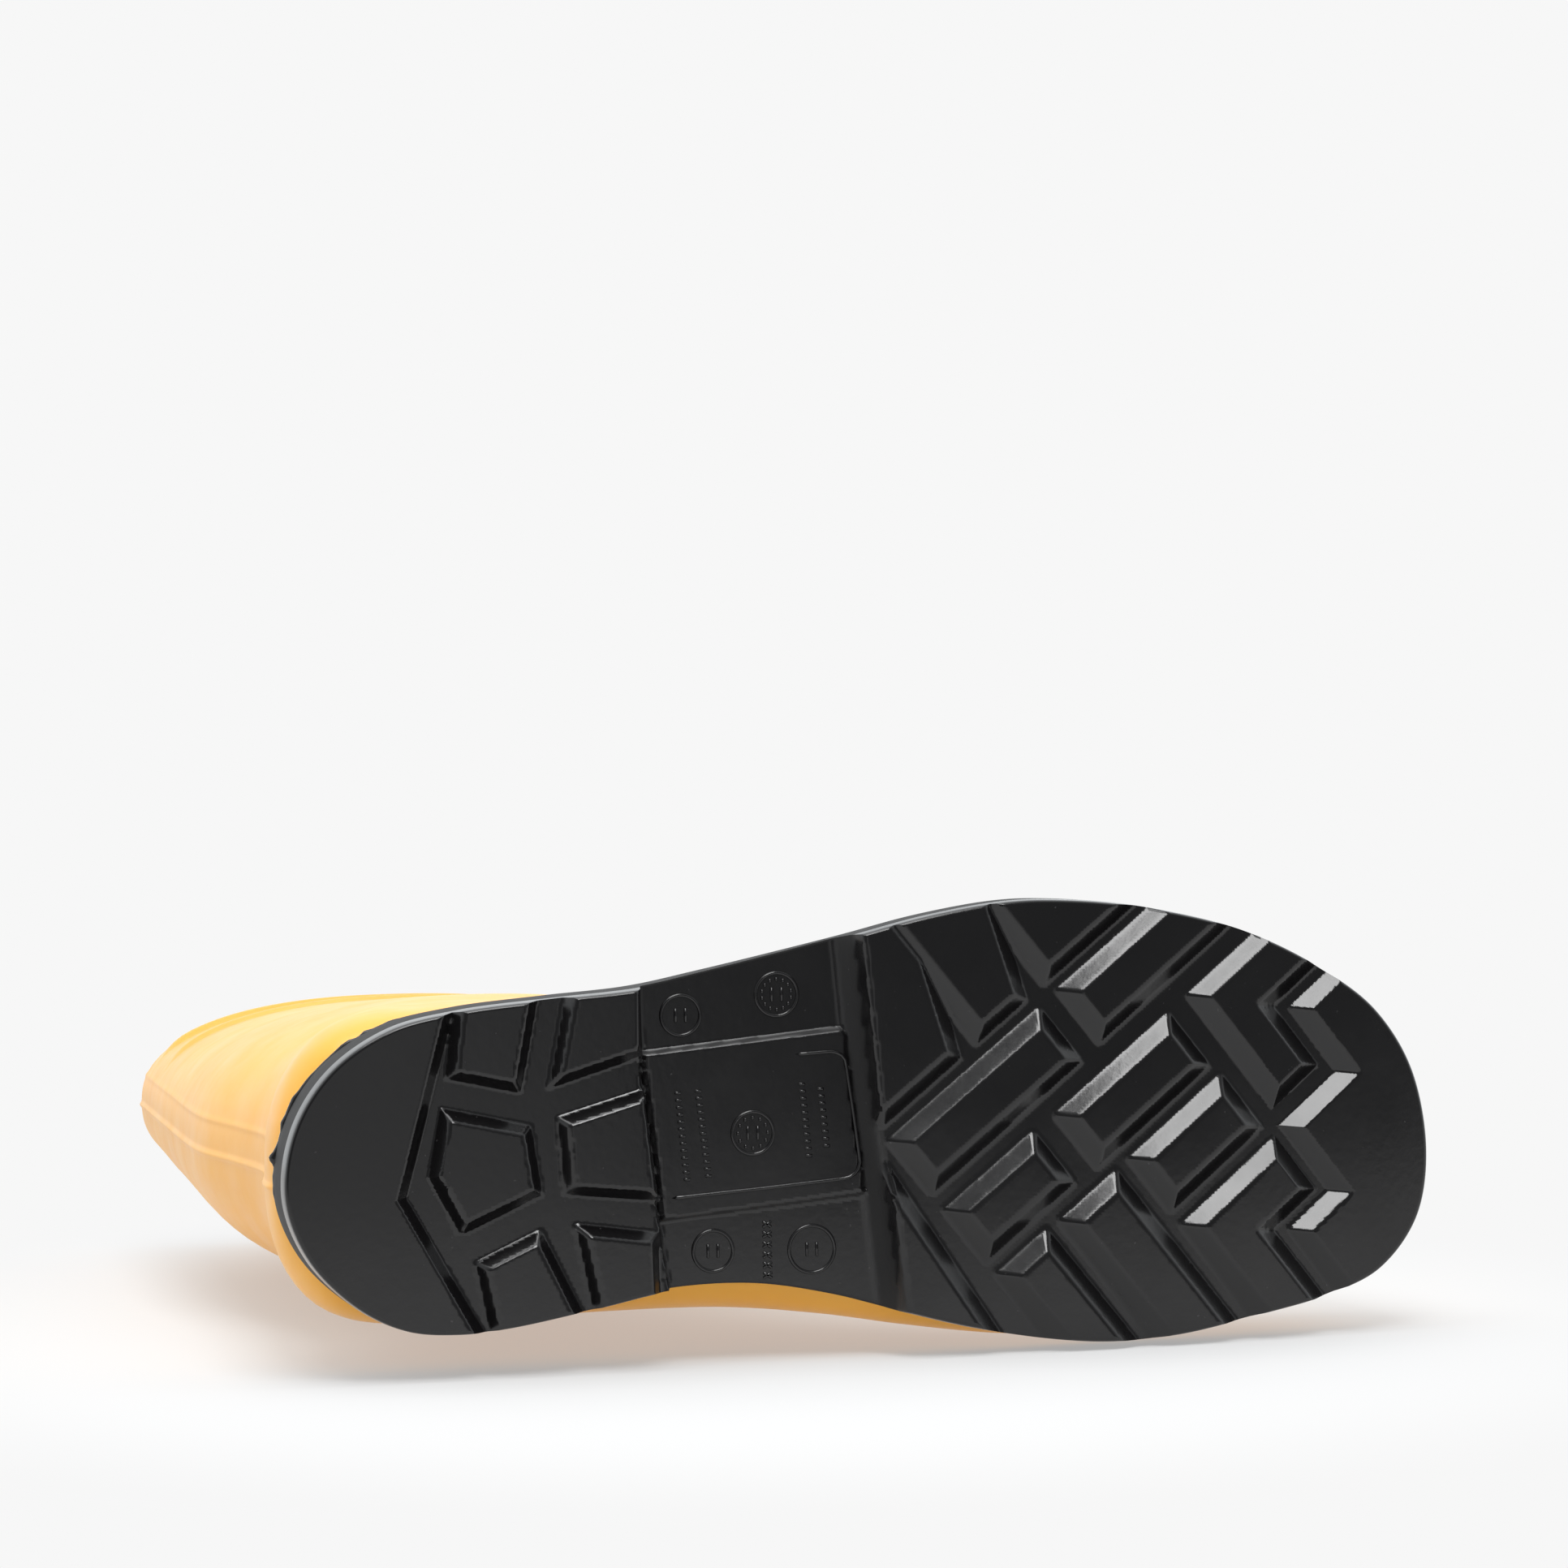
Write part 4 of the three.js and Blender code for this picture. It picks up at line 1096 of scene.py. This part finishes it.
def make_floor():
    """A plane facing the outer side of the foot; it ends short of the camera."""
    size, near = 2.2, -0.36
    mesh = bpy.data.meshes.new("floor")
    corners = [(FLOOR_X, -size, near), (FLOOR_X, -size, size), (FLOOR_X, size, size), (FLOOR_X, size, near)]
    mesh.from_pydata(corners, [], [(0, 1, 2, 3)])
    if mesh.polygons[0].normal.x > 0:
        mesh.flip_normals()
    floor = bpy.data.objects.new("floor", mesh)
    bpy.context.scene.collection.objects.link(floor)
    material, shader, place = new_material("matt_white_paper")
    link = material.node_tree.links.new
    shader.inputs["Base Color"].default_value = grey(0.66)
    shader.inputs["Roughness"].default_value = 0.9
    shader.inputs["Specular IOR Level"].default_value = 0.1
    glow = add(material, "ShaderNodeEmission", {"Color": linear(BACKDROP), "Strength": 1.0})
    around = add(material, "ShaderNodeMapping", {"Location": (0, -0.02, -0.1), "Scale": (0, 1, 0.8)},
                 {"Vector": place.outputs["Object"]})
    far = add(material, "ShaderNodeVectorMath", {"operation": "LENGTH"},
              {"Vector": around.outputs["Vector"]})
    fade = add(material, "ShaderNodeMapRange", {"interpolation_type": "SMOOTHSTEP", "From Min": 0.14,
                                                "From Max": 0.3, "To Min": 0.4},
               {"Value": far.outputs["Value"]})
    paper = add(material, "ShaderNodeMixShader", links={"Fac": fade.outputs["Result"]})
    link(shader.outputs[0], paper.inputs[1])
    link(glow.outputs[0], paper.inputs[2])
    side = add(material, "ShaderNodeNewGeometry")
    clear = add(material, "ShaderNodeBsdfTransparent")
    both = add(material, "ShaderNodeMixShader", links={"Fac": side.outputs["Backfacing"]})
    link(paper.outputs[0], both.inputs[1])
    link(clear.outputs[0], both.inputs[2])
    output = next(n for n in material.node_tree.nodes if n.type == "OUTPUT_MATERIAL")
    link(both.outputs[0], output.inputs["Surface"])
    mesh.materials.append(material)
    return floor


def softbox(name, place, target, size, radiance):
    """A square area lamp that faces a point; its power is pi times its area and radiance."""
    data = bpy.data.lights.new(name, "AREA")
    data.shape = "SQUARE"
    data.size = size
    data.energy = radiance * math.pi * size * size
    lamp = bpy.data.objects.new(name, data)
    bpy.context.scene.collection.objects.link(lamp)
    lamp.location = place
    direction = Vector(target) - Vector(place)
    lamp.rotation_mode = "QUATERNION"
    lamp.rotation_quaternion = direction.to_track_quat("-Z", "Y")
    return lamp


def make_world():
    """An even backdrop to the eye; as light, pale walls behind the sole and a dim room before it."""
    world = bpy.data.worlds.new("studio")
    bpy.context.scene.world = world
    world.use_nodes = True
    world.node_tree.nodes.clear()
    seen = add(world, "ShaderNodeBackground", {"Color": linear(BACKDROP)})
    direction = add(world, "ShaderNodeTexCoord")
    parts = add(world, "ShaderNodeSeparateXYZ", links={"Vector": direction.outputs["Generated"]})
    walls = add(world, "ShaderNodeMapRange", {"interpolation_type": "SMOOTHSTEP", "From Min": -0.75,
                                              "From Max": 0.1, "To Min": 0.22, "To Max": 1.2},
                {"Value": parts.outputs["Z"]})
    lit = add(world, "ShaderNodeBackground", {"Color": (0.95, 0.98, 1.0, 1.0)},
              {"Strength": walls.outputs["Result"]})
    rays = add(world, "ShaderNodeLightPath")
    pick = add(world, "ShaderNodeMixShader", links={"Fac": rays.outputs["Is Camera Ray"]})
    world.node_tree.links.new(lit.outputs[0], pick.inputs[1])
    world.node_tree.links.new(seen.outputs[0], pick.inputs[2])
    add(world, "ShaderNodeOutputWorld", links={"Surface": pick.outputs[0]})
    return world


floor = make_floor()
world = make_world()
softbox("key", (-1.01, 0.095, -0.772), (-0.005, -0.089, 0), 0.53, 11.0)
softbox("overhead", (-1.25, 0.25, -0.02), (0, 0.05, 0), 0.9, 3.2)
softbox("front_panel", (0.1, 0.05, -1.35), (0, 0.1, 0), 0.5, 0.4)
bpy.context.scene.view_settings.view_transform = "Standard"
print("floor and three softboxes")

# %% [markdown]
# Last, each piece is tied to the body that it moves with, and the plain imported solid that it
# stands for is hidden.

# %% Ride, and hide the imported solids
for piece, body, nodes, slot in (
    (outsole, "boot", ("outsole",), "black_pvc"),
    (marks, "boot", (), "black_pvc"),
    (flash, "boot", (), "black_pvc"),
    (upper, "boot", ("upper",), "yellow_pvc"),
    (lining, "boot", ("lining_sock",), "knit_lining"),
    (footbed, "insock", ("footbed",), "footbed_felt"),
):
    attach(piece, body)
    if nodes:
        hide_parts(*nodes)
